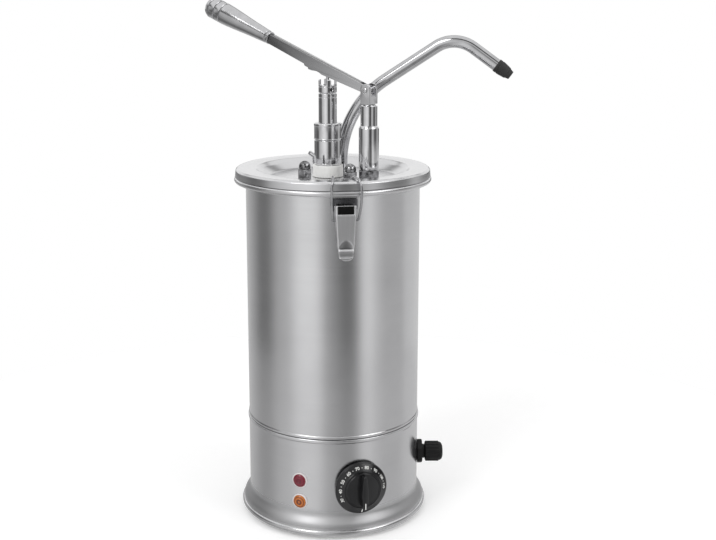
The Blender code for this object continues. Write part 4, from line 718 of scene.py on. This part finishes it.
def light_studio():
    """Soft boxes either side, and a plain white room."""
    world = bpy.data.worlds.new("studio")
    bpy.context.scene.world = world
    world.use_nodes = True
    tree = world.node_tree
    tree.nodes.clear()
    level = ranged(tree, seen_by(tree), low=0.8, high=1.0)
    plain = made(tree, "ShaderNodeBackground", {"Color": (1.0, 1.0, 1.0, 1.0), "Strength": level})
    put(tree, "ShaderNodeOutputWorld", {"Surface": plain})
    middle = Vector((0.0, 0.0, 0.25))
    for name, spot, power in (("key_light", (-1.2, -1.5, 2.0), 16.0), ("fill_light", (1.5, -1.0, 1.5), 8.0)):
        lamp_data = bpy.data.lights.new(name, 'AREA')
        lamp_data.size = 1.0
        lamp_data.energy = power
        holder = shown(name, lamp_data)
        holder.location = spot
        holder.rotation_euler = (middle - Vector(spot)).to_track_quat('-Z', 'Y').to_euler()
    bpy.context.scene.view_settings.view_transform = 'Standard'


stand_camera()
lay_floor()
stand_flags()
light_studio()


def turned_piece(name, corners, turns, steps, finish, *nodes, place=None, body="vessel"):
    """A piece turned from the corners of a section that starts and ends on the axis."""
    new_piece(name, turned_mesh(rounded(corners, turns), steps, place), finish, *nodes, body=body)


def ring_piece(name, corners, turns, steps, finish, *nodes, place=None):
    """A piece that a closed section makes round the axis."""
    new_piece(name, ring_shell(rounded(corners, turns), steps, place), finish, *nodes)


# Vessel: base housing, jacket, pot and lid

def base_housing():
    """The housing's shell: a stepped top, a straight side, and a flare that ends in a rolled bead."""
    flare = [(BASE_RADIUS + 6.4 * (1 - cos(pi * step / 14)) / 2, 26.0 - step) for step in range(15)]
    side = rounded([(80.0, 104.4), (91.2, 104.4, 1.1), (91.2, 101.4, 0.9), (BASE_RADIUS, 100.2, 0.8),
        (BASE_RADIUS, 27.0)], 4)
    bead = arc(95.7, 7.3, 3.0, 72, -180, 24)
    inner = [(radius - 1.0, height) for radius, height in reversed(flare[::2])]
    inner += [(89.2, 103.4), (80.0, 103.4)]
    new_piece("base_shell", turned_mesh(side + flare + bead + inner, 160), body_steel, "base_housing")


def jacket():
    outer = [(96.6, 353.2), (96.6, 352.2, 0.3), (90.0, 352.2, 1.2), (90.0, 108.2, 0.8), (90.6, 107.2, 0.5),
        (90.6, 105.4, 0.3), (90.3, 105.0, 0.2), (86.0, 105.0)]
    inner = [(86.0, 106.0), (89.0, 106.0, 0.5), (89.0, 353.2, 1.8), (92.0, 353.2)]
    new_piece("jacket_shell", turned_mesh(rounded(outer + inner, 5), 160), body_steel, "outer_jacket")


def pot():
    inside = rounded([(0.0, 112.0), (83.0, 112.0, 12.0), (83.0, 359.5, 2.2), (98.9, 359.5)], 8)
    bead = arc(98.9, 356.6, 2.9, 90, -180, 24)
    outside = rounded([(96.0, 358.5), (84.0, 358.5, 1.4), (84.0, 111.0, 13.0), (0.0, 111.0)], 8)
    new_piece("pot_pan", turned_mesh(inside + bead[1:] + outside, 144), lid_steel, "inner_pot")


def lid():
    """The lid's cover: a dish inside a broad band, with holes for the pump, pipe, post and studs."""
    line = rounded([(0.0, 358.3), (65.5, 358.3, 8.0), (76.2, 363.9, 4.0), (79.4, 367.7, 2.4), (90.0, 368.3, 20.0),
        (98.4, 368.3, 1.5), (100.4, 366.5, 1.7), (100.9, 359.7)], 7)
    spots = ((-5.0, 0.0, 12.3), (9.3, 19.8, 6.65), (36.4, -29.5, 5.3), (-27.9, -39.1, 4.3), (18.0, -34.4, 4.3),
        (-10.0, 33.0, 4.3))
    holes = [drill(radius, 370.0, 350.0, moved(x, y)) for x, y, radius in spots]
    cover = carved(turned_mesh(sheet_section(line, 1.0), 160), joined(*holes))
    new_piece("lid_cover", cover, lid_steel, "lid")


# Rubber feet and the base's fittings

def feet():
    foot = turned_mesh(rounded([(0.0, 2.6), (7.6, 2.6), (9.0, 2.6, 0.3), (9.0, 1.5, 0.2), (8.6, 1.3), (7.6, 0.0, 0.5),
        (5.4, 0.0, 0.2), (5.2, 0.4, 0.2), (4.4, 0.4, 0.2), (4.2, 0.0, 0.2), (0.0, 0.0)], 4), 48)
    row = row_mesh(foot, 4, 74.0, radians(45), pi / 2)
    new_piece("rubber_feet", row, foot_rubber, "foot_1", "foot_2", "foot_3", "foot_4")


def numeral(text, size):
    """A number's thin raised form, lying on its middle."""
    curve = bpy.data.curves.new("numeral", 'FONT')
    curve.body = text
    curve.size = size * MM
    curve.extrude = curve.offset = 0.05 * MM
    curve.align_x = curve.align_y = 'CENTER'
    curve.resolution_u = 3
    return outcome(shown("numeral", curve))


def knob():
    """The skirted knob: its body, the grip ridge, and the printed scale."""
    place = side_place(KNOB_AZIMUTH, KNOB_HEIGHT)
    section = rounded([(0.0, 10.0), (16.9, 10.0, 0.6), (17.6, 9.2, 0.4), (18.6, 9.2, 0.4), (19.3, 9.9, 0.5),
        (20.3, 8.8, 0.5), (26.6, 4.9, 0.7), (27.2, 4.0, 0.5), (27.2, 1.6, 0.2), (0.0, 1.6)], 4)
    ridge = rounded(mirrored([(2.6, -17.6, 2.3), (3.4, 0.0, 8.0), (1.7, 17.0, 1.5)]))
    grip_ridge = extruded_mesh(ridge, 7.0, 18.4, place, ease=1.1, steps=5)
    new_piece("knob_body", joined(turned_mesh(section, 128, place), grip_ridge), knob_black, "knob", body="knob")
    slope = atan2(8.8 - 4.9, 26.6 - 20.3)
    reach, level, first, pitch = 22.9, 7.24, 204.0, 25.2
    printed = []
    for index in range(9):
        mesh = numeral(str(30 + 10 * index), 4.6 if index < 7 else 3.9)
        angle = radians(first - pitch * index)
        on_cone = moved(reach * cos(angle), reach * sin(angle), level)
        mesh.transform(place @ on_cone @ turned_about(angle - pi / 2, 'Z') @ turned_about(-slope, 'X'))
        printed.append(mesh)
    on_slope = moved(0.0, 0.0, level) @ turned_about(slope, 'Y')
    dot = turned_mesh([(0.0, 0.06), (0.4, 0.06), (0.42, 0.0), (0.4, -0.06), (0.0, -0.06)], 12, on_slope)
    printed.append(row_mesh(dot, 8, reach, radians(first - pitch / 2), radians(-pitch), place))
    printed.append(extruded_mesh(rounded(mirrored([(0.45, -17.4, 0.2), (0.45, -11.0, 0.2)]), 2), 18.36, 18.46, place))
    printed.append(extruded_mesh(rounded(mirrored([(0.5, -2.4, 0.2), (0.5, 2.4, 0.2)]), 2), -0.06, 0.06,
        place @ moved(0.0, -23.3, 6.98) @ turned_about(slope, 'X')))
    new_piece("dial_print", joined(*printed), dial_print, body="knob")


def lamp(name, height, lens_finish):
    """A signal lamp: a pale bezel, and a lens with rings moulded in its face."""
    place = side_place(LAMP_AZIMUTH, height)
    turned_piece("lamp_glass_" + name, [(0.0, 3.3), (1.0, 3.3, 0.2), (1.3, 3.0, 0.15), (1.8, 3.0, 0.15),
        (2.2, 3.3, 0.2), (2.9, 3.25, 0.2), (3.2, 2.95, 0.15), (3.7, 2.9, 0.15), (4.1, 3.1, 0.2), (5.4, 2.8, 0.8),
        (6.6, 1.8, 0.5), (6.7, 0.2), (0.0, 0.2)], 4, 72, lens_finish, "lamp_lens_" + name, place=place)
    ring_piece("lamp_bezel_" + name, [(6.75, 1.6, 0.3), (7.8, 1.0, 0.5), (7.9, -0.3, 0.1), (6.75, -0.3, 0.1)], 4, 72,
        bezel_pale, place=place)


def gland():
    """The cord gland: hexagonal flange and neck, and a domed nut with flutes round it."""
    place = side_place(GLAND_AZIMUTH, GLAND_HEIGHT)
    neck = turned_mesh(rounded([(3.6, 16.6), (6.2, 16.6, 0.3), (6.2, 8.0), (7.6, 8.0, 0.4), (7.6, 5.4), (7.6, 0.6),
        (9.8, 0.6), (9.8, -11.0, 0.5), (3.6, -11.0)], 3), 64, place)
    new_piece("gland_flange", joined(hex_mesh(23.6, 0.6, 5.6, place, under=0.3), neck), gland_black, "gland_body")
    cap = ring_shell(rounded([(5.6, 27.9, 0.7), (9.6, 26.4, 3.4), (10.2, 21.0, 1.5), (10.2, 9.0, 0.8),
        (6.6, 8.3, 0.3), (6.6, 17.0), (3.8, 17.0), (3.8, 27.0, 0.4)]), 96, place)
    flute = extruded_mesh(rounded([(-0.6, -1.1, 0.4), (0.55, -0.8, 0.4), (0.55, 0.8, 0.4), (-0.6, 1.1, 0.4)], 3), 9.4,
        23.4, ease=0.3, steps=2)
    ribs = row_mesh(flute, 16, 10.2, 0.0, tau / 16, place)
    new_piece("gland_nut", joined(cap, ribs), gland_black, "gland_cap")


# Fittings on the lid

def acorn_nuts():
    """Three domed nuts, each on its stud."""
    for index, (x, y, height) in enumerate(NUTS, 1):
        spot = moved(x, y, LID_SEAT)
        top = 1.4 + height
        washer = turned_mesh(rounded([(0.0, 1.5), (6.2, 1.5), (7.4, 1.2, 0.4), (7.5, 0.3, 0.2), (7.2, 0.0),
            (0.0, 0.0)], 3), 72, spot)
        dome = [(0.0, top + 8.2)]
        dome += [(5.9 * sin(radians(step * 6)), top + 2.3 + 5.9 * cos(radians(step * 6))) for step in range(1, 16)]
        dome += rounded([(5.9, top + 2.0), (5.9, top + 0.6, 0.5), (5.2, top, 0.2), (0.0, top - 0.5)], 4)
        nut = joined(washer, hex_mesh(13.0, 1.4, top, spot), turned_mesh(dome, 72, spot))
        new_piece("domed_nut_%d" % index, nut, nut_dark_reflection_steel, "acorn_nut_%d" % index)


def barrel():
    """The white collar, the sleeve with its parting groove and the cap nut over the pump's neck."""
    ring_piece("white_collar", [(15.5, 370.6, 0.6), (15.8, 358.6, 0.5), (12.3, 358.6), (12.3, 366.5), (13.55, 366.5),
        (13.55, 370.6, 0.3)], 6, 120, collar_white, "pump_collar", place=ON_BARREL)
    ring_piece("sleeve_shell", [(13.3, 396.8, 0.2), (13.1, 396.0, 0.2), (13.85, 395.9, 0.25), (13.85, 373.2, 0.4),
        (13.25, 371.4, 0.3), (13.25, 366.8, 0.2), (12.4, 366.8), (12.4, 380.0), (9.7, 380.0), (9.7, 396.8, 0.2)], 4,
        120, bright_steel, "barrel_sleeve", place=ON_BARREL)
    ring_piece("cap_shell", [(10.6, 413.8, 0.3), (13.4, 413.8, 0.4), (14.2, 413.0, 0.4), (14.2, 410.9, 0.3),
        (13.95, 410.6, 0.2), (13.95, 398.1, 0.3), (14.2, 397.8, 0.3), (14.2, 397.1, 0.2), (9.7, 397.1),
        (9.7, 412.9, 0.3)], 4, 120, bright_steel, "barrel_cap", place=ON_BARREL)


SPOUT_RISE = radians(33.2)
SPOUT_FALL = radians(35.7)
FIRST_BEND, FIRST_BEND_HEIGHT, CROWN_BEND = 101.7, 371.6, 33.3
LONG_STRAIGHT, LAST_STRAIGHT = 62.1, 32.0


def spout_route(steps=22):
    """The gooseneck's centre line: up out of the lid, over in a long bend, along, and down in a tight one."""
    route = [(0.0, 357.4), (0.0, 364.0)]
    for step in range(steps + 1):
        angle = (pi / 2 - SPOUT_RISE) * step / steps
        route.append((FIRST_BEND * (1 - cos(angle)), FIRST_BEND_HEIGHT + FIRST_BEND * sin(angle)))
    up, along = sin(SPOUT_RISE), cos(SPOUT_RISE)
    crown = (FIRST_BEND * (1 - up) + LONG_STRAIGHT * along + CROWN_BEND * up,
        FIRST_BEND_HEIGHT + FIRST_BEND * along + LONG_STRAIGHT * up - CROWN_BEND * along)
    for step in range(steps + 1):
        angle = pi / 2 + SPOUT_RISE - (SPOUT_RISE + SPOUT_FALL) * step / steps
        route.append((crown[0] + CROWN_BEND * cos(angle), crown[1] + CROWN_BEND * sin(angle)))
    route.append((route[-1][0] + LAST_STRAIGHT * cos(SPOUT_FALL), route[-1][1] - LAST_STRAIGHT * sin(SPOUT_FALL)))
    ahead, aside = cos(SPOUT_HEADING), sin(SPOUT_HEADING)
    return [(PIPE_FOOT[0] + reach * ahead, PIPE_FOOT[1] + reach * aside, height) for reach, height in route]


def spout():
    route = spout_route()
    new_piece("gooseneck", bar_mesh(route, 6.35, 40), pipe_steel, "spout_pipe", crease=50)
    place = moved(*route[-1]) @ turned_about(SPOUT_HEADING, 'Z') @ turned_about(pi / 2 + SPOUT_FALL, 'Y')
    ring_piece("rubber_nozzle", [(3.0, 14.9, 0.3), (4.3, 14.9, 0.6), (5.2, 11.2, 0.6), (5.9, 10.4, 0.4),
        (6.9, 3.4, 0.9), (7.0, 1.0, 0.4), (6.7, 0.6, 0.2), (6.7, 0.0, 0.2), (7.0, -0.4, 0.3), (6.9, -3.0, 0.3),
        (6.5, -3.0), (6.5, 0.3), (3.0, 0.3)], 4, 72, nozzle_rubber, "spout_nozzle", place=place)


def post():
    """The stepped post, the hex nut round its foot, and the forked head on top with its pin."""
    turned_piece("post_column", [(0.0, 435.4), (6.4, 435.4), (6.4, 434.5, 0.2), (8.0, 434.2, 0.2), (8.4, 433.6, 0.3),
        (8.4, 414.2, 0.5), (8.9, 413.4, 0.3), (9.3, 413.3, 0.3), (10.1, 411.6, 0.5), (10.1, 371.6, 0.6),
        (9.5, 371.0, 0.3), (9.5, 370.0, 0.2), (0.0, 370.0)], 5, 96, bright_steel, "lever_post", place=ON_POST)
    new_piece("foot_nut", hex_mesh(19.8, LID_SEAT, 369.7, ON_POST, chamfer=1.1), nut_dark_reflection_steel, "post_nut")
    outline = rounded([(-5.4, -14.0, 0.3), (5.4, -14.0, 0.3), (5.4, 6.2, 4.6), (-5.4, 6.2, 4.6)], 8)
    fork = extruded_mesh(outline, -7.4, 7.4, UPRIGHT, ease=0.7, steps=4)
    fork = carved(fork, extruded_mesh(oblong(-9.0, -6.6, 9.0, 9.0), -4.5, 4.5, UPRIGHT))
    fork = carved(fork, drill(2.8, 12.0, -12.0, UPRIGHT))
    fork.transform(AT_PIVOT)
    new_piece("fork_head", fork, bright_steel, "clevis")
    turned_piece("hinge_pin", [(0.0, 8.4), (1.5, 8.3, 0.4), (2.5, 7.7, 0.3), (2.5, -7.7, 0.3), (1.5, -8.3, 0.4),
        (0.0, -8.4)], 4, 48, bright_steel, "pivot_pin", place=AT_PIVOT @ UPRIGHT)


# The lever and its grip

def lever_bar():
    """A pressed channel, open below, with a stepped lower edge and a slot over the fork."""
    nose = arc(0.0, 0.0, 4.4, 100, 262, 14)
    edge = rounded([(7.6, -4.7), (57.0, -8.4, 1.0), (60.0, -7.8, 0.5), (64.0, -7.7, 0.5), (69.6, -9.4, 0.9),
        (74.2, -9.9, 0.9), (75.2, -8.6, 0.4), (80.0, -8.4, 0.5), (81.2, -6.9, 0.4), (133.0, -6.1)], 4)
    bar = extruded_mesh([(133.0, 3.4), (0.0, 3.4)] + nose + edge, -4.1, 4.1, UPRIGHT, ease=0.8, steps=4)
    bar = carved(bar, extruded_mesh(oblong(-9.0, -14.0, 140.0, 2.2), -2.9, 2.9, UPRIGHT))
    bar = carved(bar, extruded_mesh(oblong(-9.0, -6.0, 11.0, 6.0), -2.9, 2.9, UPRIGHT))
    bar = carved(bar, drill(2.8, 9.0, -9.0, UPRIGHT))
    bar.transform(ON_LEVER)
    new_piece("lever_bar", bar, lever_steel, "lever", body="lever")


def grip():
    """The turned grip: ferrule groove, a long taper, three bright rings and a domed end."""
    section = [(0.0, 91.4), (2.5, 91.3), (5.0, 90.8), (7.4, 89.8), (9.2, 88.3), (10.3, 86.6), (10.9, 84.9)]
    for middle in (82.6, 74.5, 66.4):
        section += [(11.3, middle + 1.7), (11.4, middle + 0.9), (11.1, middle + 0.55), (10.6, middle + 0.45),
            (10.6, middle - 0.45), (11.1, middle - 0.55), (11.4, middle - 0.9), (11.35, middle - 1.9)]
    section += [(11.0, 58.0), (10.4, 50.0), (9.7, 42.0), (8.9, 33.0), (8.2, 24.0), (7.6, 15.0), (7.1, 8.0),
        (6.9, 4.6), (6.6, 4.2), (6.0, 4.0), (5.8, 3.7), (5.8, 1.9), (6.0, 1.6), (6.6, 1.4), (6.7, 1.1), (6.7, 0.4),
        (6.4, 0.0), (0.0, 0.0)]
    turned_piece("turned_grip", section, 1, 96, grip_steel, "lever_grip",
        place=ON_LEVER @ moved(133.3, 0.0, -1.0) @ LYING, body="lever")


# The plunger

def plunger():
    """The plunger's tube with a scribed ring, and its crowned head with four prongs round the tappet."""
    turned_piece("plunger_stem", [(0.0, 444.0), (9.0, 444.0), (9.3, 443.6, 0.2), (9.3, 440.4, 0.1),
        (9.15, 440.2, 0.1), (9.15, 439.8, 0.1), (9.3, 439.6, 0.1), (9.3, 372.6, 0.3), (8.7, 372.0), (0.0, 372.0)], 3,
        96, bright_steel, "plunger_tube", place=ON_PLUNGER, body="plunger")
    head = turned_mesh(rounded([(0.0, 452.0), (6.2, 452.0, 0.5), (6.3, 457.5, 0.2), (6.9, 458.2, 0.3),
        (8.5, 458.2, 0.5), (9.3, 457.2, 0.5), (9.3, 451.0, 0.2), (9.1, 450.7, 0.1), (9.3, 450.4, 0.2),
        (9.3, 445.2, 0.4), (8.8, 444.4, 0.2), (0.0, 444.4)], 4), 96)
    for turn in (0.0, pi / 2):
        outline = rounded([(-4.8, 452.2, 1.2), (4.8, 452.2, 1.2), (4.8, 462.0), (-4.8, 462.0)], 5)
        head = carved(head, extruded_mesh(outline, -14.0, 14.0, turned_about(turn, 'Z') @ UPRIGHT))
    at_screw = moved(0.0, 0.0, HEAD_SCREW_HEIGHT) @ turned_about(HEAD_SCREW_HEADING - LEVER_HEADING, 'Z') @ LYING
    head = carved(head, turned_mesh([(0.0, 14.0), (1.9, 14.0), (1.9, 8.9), (1.4, 8.3), (1.4, 7.4), (0.0, 7.2)], 32,
        at_screw))
    head.transform(ON_PLUNGER)
    new_piece("crown_head", head, bright_steel, "plunger_head", body="plunger")
    # A black disc inside the head screw's socket: painted shade in the recess.
    turned_piece("head_socket_shade", [(0.0, 8.9), (0.8, 8.8), (1.5, 8.6), (1.7, 8.2), (1.35, 8.1), (1.35, 7.4),
        (0.0, 7.3)], 1, 24, inner_black, place=ON_PLUNGER @ at_screw, body="plunger")
    turned_piece("tappet_pin", [(0.0, 461.6), (0.7, 461.5, 0.2), (1.6, 460.9, 0.4), (1.6, 453.2, 0.2),
        (2.2, 452.9, 0.2), (2.2, 452.4, 0.1), (0.0, 452.4)], 3, 32, bright_steel, "tappet", place=ON_PLUNGER,
        body="plunger")


# Toggle latches and their wire bails

def latch_sheet(stations, across=30, thickness=1.1, corner=1.6):
    """A sheet bent to a channel: at each station (x, z, half width, flange depth, tilt, dent) one section."""
    bend = (0.0, 0.4, 0.8, 1.2, pi / 2)
    builder = bmesh.new()
    rings = []
    for x, z, half, depth, tilt, dent in stations:
        outer = [(half, -depth)]
        outer += [(half - corner + corner * cos(angle), -corner + corner * sin(angle)) for angle in bend]
        outer += [((half - corner) * (1 - 2 * step / across), 0.0) for step in range(1, across)]
        outer += [(-half + corner - corner * sin(angle), -corner + corner * cos(angle)) for angle in bend]
        outer.append((-half, -depth))
        shrunk = (half - thickness) / half
        inner = [(y * shrunk, d - thickness * max(0.0, 1.0 + d / corner) if d > -corner else d) for y, d in outer]
        ring = []
        for y, d in outer + inner[::-1]:
            reach = (y / 7.0) ** 2 + (1.0 - dent) ** 2
            if dent > 0.0 and d > -corner * 0.9 - thickness and reach < 1.0:
                d -= 2.3 * (1.0 - reach) ** 0.6
            ring.append(builder.verts.new(((x + d * cos(tilt)) * MM, y * MM, (z + d * sin(tilt)) * MM)))
        rings.append(ring)
    for first, second in zip(rings, rings[1:]):
        for step in range(len(first)):
            following = (step + 1) % len(first)
            builder.faces.new((first[step], first[following], second[following], second[step]))
    count = len(rings[0])
    for ring in (rings[0], rings[-1]):
        for step in range(count // 2 - 1):
            builder.faces.new((ring[step], ring[step + 1], ring[count - 2 - step], ring[count - 1 - step]))
    return closed_mesh(builder)


def shares(count, first=1):
    return [step / count for step in range(first, count + 1)]


def latch_lever_mesh():
    """The latch's lever about its own pin: a tapering channel, a dimple, a fold that carries a painted highlight, and a
    rounded lip.
    """
    stations = [(3.2 + 0.7 * sin(share * pi / 2), 4.0 - 1.2 * share, 10.2 + 0.5 * share, 2.4 + 4.6 * share, 0.0, 0.0)
        for share in shares(8, 0)]
    stations += [(3.9, 2.8 - 32.6 * share, 10.7 - 1.9 * share, 7.0 if share < 0.45 else 7.0 - 4.6 * min(1.0,
        (share - 0.45) / 0.35), 0.0, 0.0) for share in shares(18)]
    stations += [(3.9, -29.8 - 8.8 * share, 8.8 - 0.9 * share ** 3, 2.4, 0.0, share if share < 0.97 else 0.0)
        for share in shares(16)]
    stations += [(3.9 + 1.2 * sin(pi * share), -39.0 - 1.2 * (1 - cos(pi * share)), 7.8, 2.3, 0.0, 0.0)
        for share in shares(8)]
    for share in shares(12):
        curl = radians(75) * max(0.0, (share - 0.55) / 0.45)
        stations.append((3.9 - 0.8 * sin(share * pi) + 4.6 * share ** 2.2, -41.4 - 7.6 * sin(share * 1.45),
            7.7 * sqrt(max(0.05, 1.0 - (share * 0.93) ** 2.6)), 1.75, -curl, 0.0))
    rim = extruded_mesh(rounded(mirrored([(8.5, -5.4, 1.2), (8.5, 4.0, 1.2)])), 2.9, 4.9, FACING_OUT, ease=0.5, steps=4)
    hole = extruded_mesh(rounded(mirrored([(7.1, -2.8, 0.5), (7.1, 2.9, 0.5)]), 5), -2.0, 9.0, FACING_OUT)
    return carved(carved(latch_sheet(stations), rim, 'UNION'), hole)


def latch(side, azimuth):
    """One toggle latch: the riveted base and its pin, the lever, and the wire bail over the lid's band."""
    on_jacket = turned_about(azimuth - pi / 2, 'Z')
    at_pin = on_jacket @ moved(LATCH_PIN_REACH, 0.0, LATCH_PIN_HEIGHT)
    outline = mirrored([(6.8, 312.0, 1.6), (9.2, 335.0, 2.0), (12.4, 340.5, 1.6), (12.4, 350.8, 1.0)])
    plate = extruded_mesh(rounded(outline, 5), 90.7, 91.9, FACING_OUT, ease=0.25, steps=2)
    cheek = rounded([(91.5, 333.6, 0.4), (97.4, 338.8, 1.4), (98.7, 341.6, 1.6), (96.3, 343.5, 1.6),
        (91.5, 342.6, 0.6)])
    cheeks = [extruded_mesh(cheek, low, low + 1.2, UPRIGHT, ease=0.25, steps=2) for low in (-6.8, 5.6)]
    rivet = rounded([(0.0, 92.9), (1.4, 92.8, 0.5), (2.2, 92.0, 0.3), (2.2, 91.5), (0.0, 91.5)], 4)
    rivets = [turned_mesh(rivet, 32, moved(0.0, 0.0, height) @ LYING) for height in (317.0, 326.5)]
    base = joined(plate, *cheeks, *rivets)
    base.transform(on_jacket)
    new_piece("latch_mount_" + side, base, latch_base_shaded_steel, "latch_base_" + side)
    turned_piece("latch_rod_" + side, [(0.0, 11.1), (0.9, 11.0, 0.3), (1.5, 10.5, 0.3), (1.5, -10.5, 0.3),
        (0.9, -11.0, 0.3), (0.0, -11.1)], 3, 32, bright_steel, "latch_pin_" + side, place=at_pin @ UPRIGHT)
    handle = latch_lever_mesh()
    handle.transform(at_pin)
    new_piece("latch_handle_" + side, handle, latch_steel, "latch_lever_" + side, body=side + "_latch_lever")
    # A black plate behind the lever's window, riding with the lever: painted shade in the window.
    window_shade_plate = extruded_mesh(rounded(mirrored([(8.0, -4.6, 0.6), (8.0, 3.4, 0.6)]), 4), 2.5, 3.0, at_pin @ FACING_OUT,
        ease=0.15, steps=2)
    new_piece("latch_shade_plate_" + side, window_shade_plate, window_shade_black, body=side + "_latch_lever")
    half = [(95.13, 8.4, 330.06, 0.0), (95.13, 12.7, 330.06, 1.9), (103.85, 14.5, 347.8, 4.0),
        (103.85, 14.5, 363.6, 4.0), (101.4, 12.6, 370.3, 3.0), (77.2, 10.0, 370.3, 3.2), (69.7, 10.0, 365.6, 3.0)]
    whole = half + [(x, -y, z, turn) for x, y, z, turn in reversed(half)]
    bail = bar_mesh(bent_route(whole), 1.2, 16)
    bail.transform(on_jacket)
    new_piece("wire_bail_" + side, bail, wire_steel, "latch_bail_" + side, body=side + "_bail", crease=50)


base_housing()
jacket()
pot()
lid()
feet()
knob()
lamp("red", RED_LAMP_HEIGHT, red_lens)
lamp("amber", AMBER_LAMP_HEIGHT, amber_lens)
gland()
acorn_nuts()
barrel()
spout()
post()
lever_bar()
grip()
plunger()
latch("front", LATCH_AZIMUTH)
latch("rear", LATCH_AZIMUTH + pi)
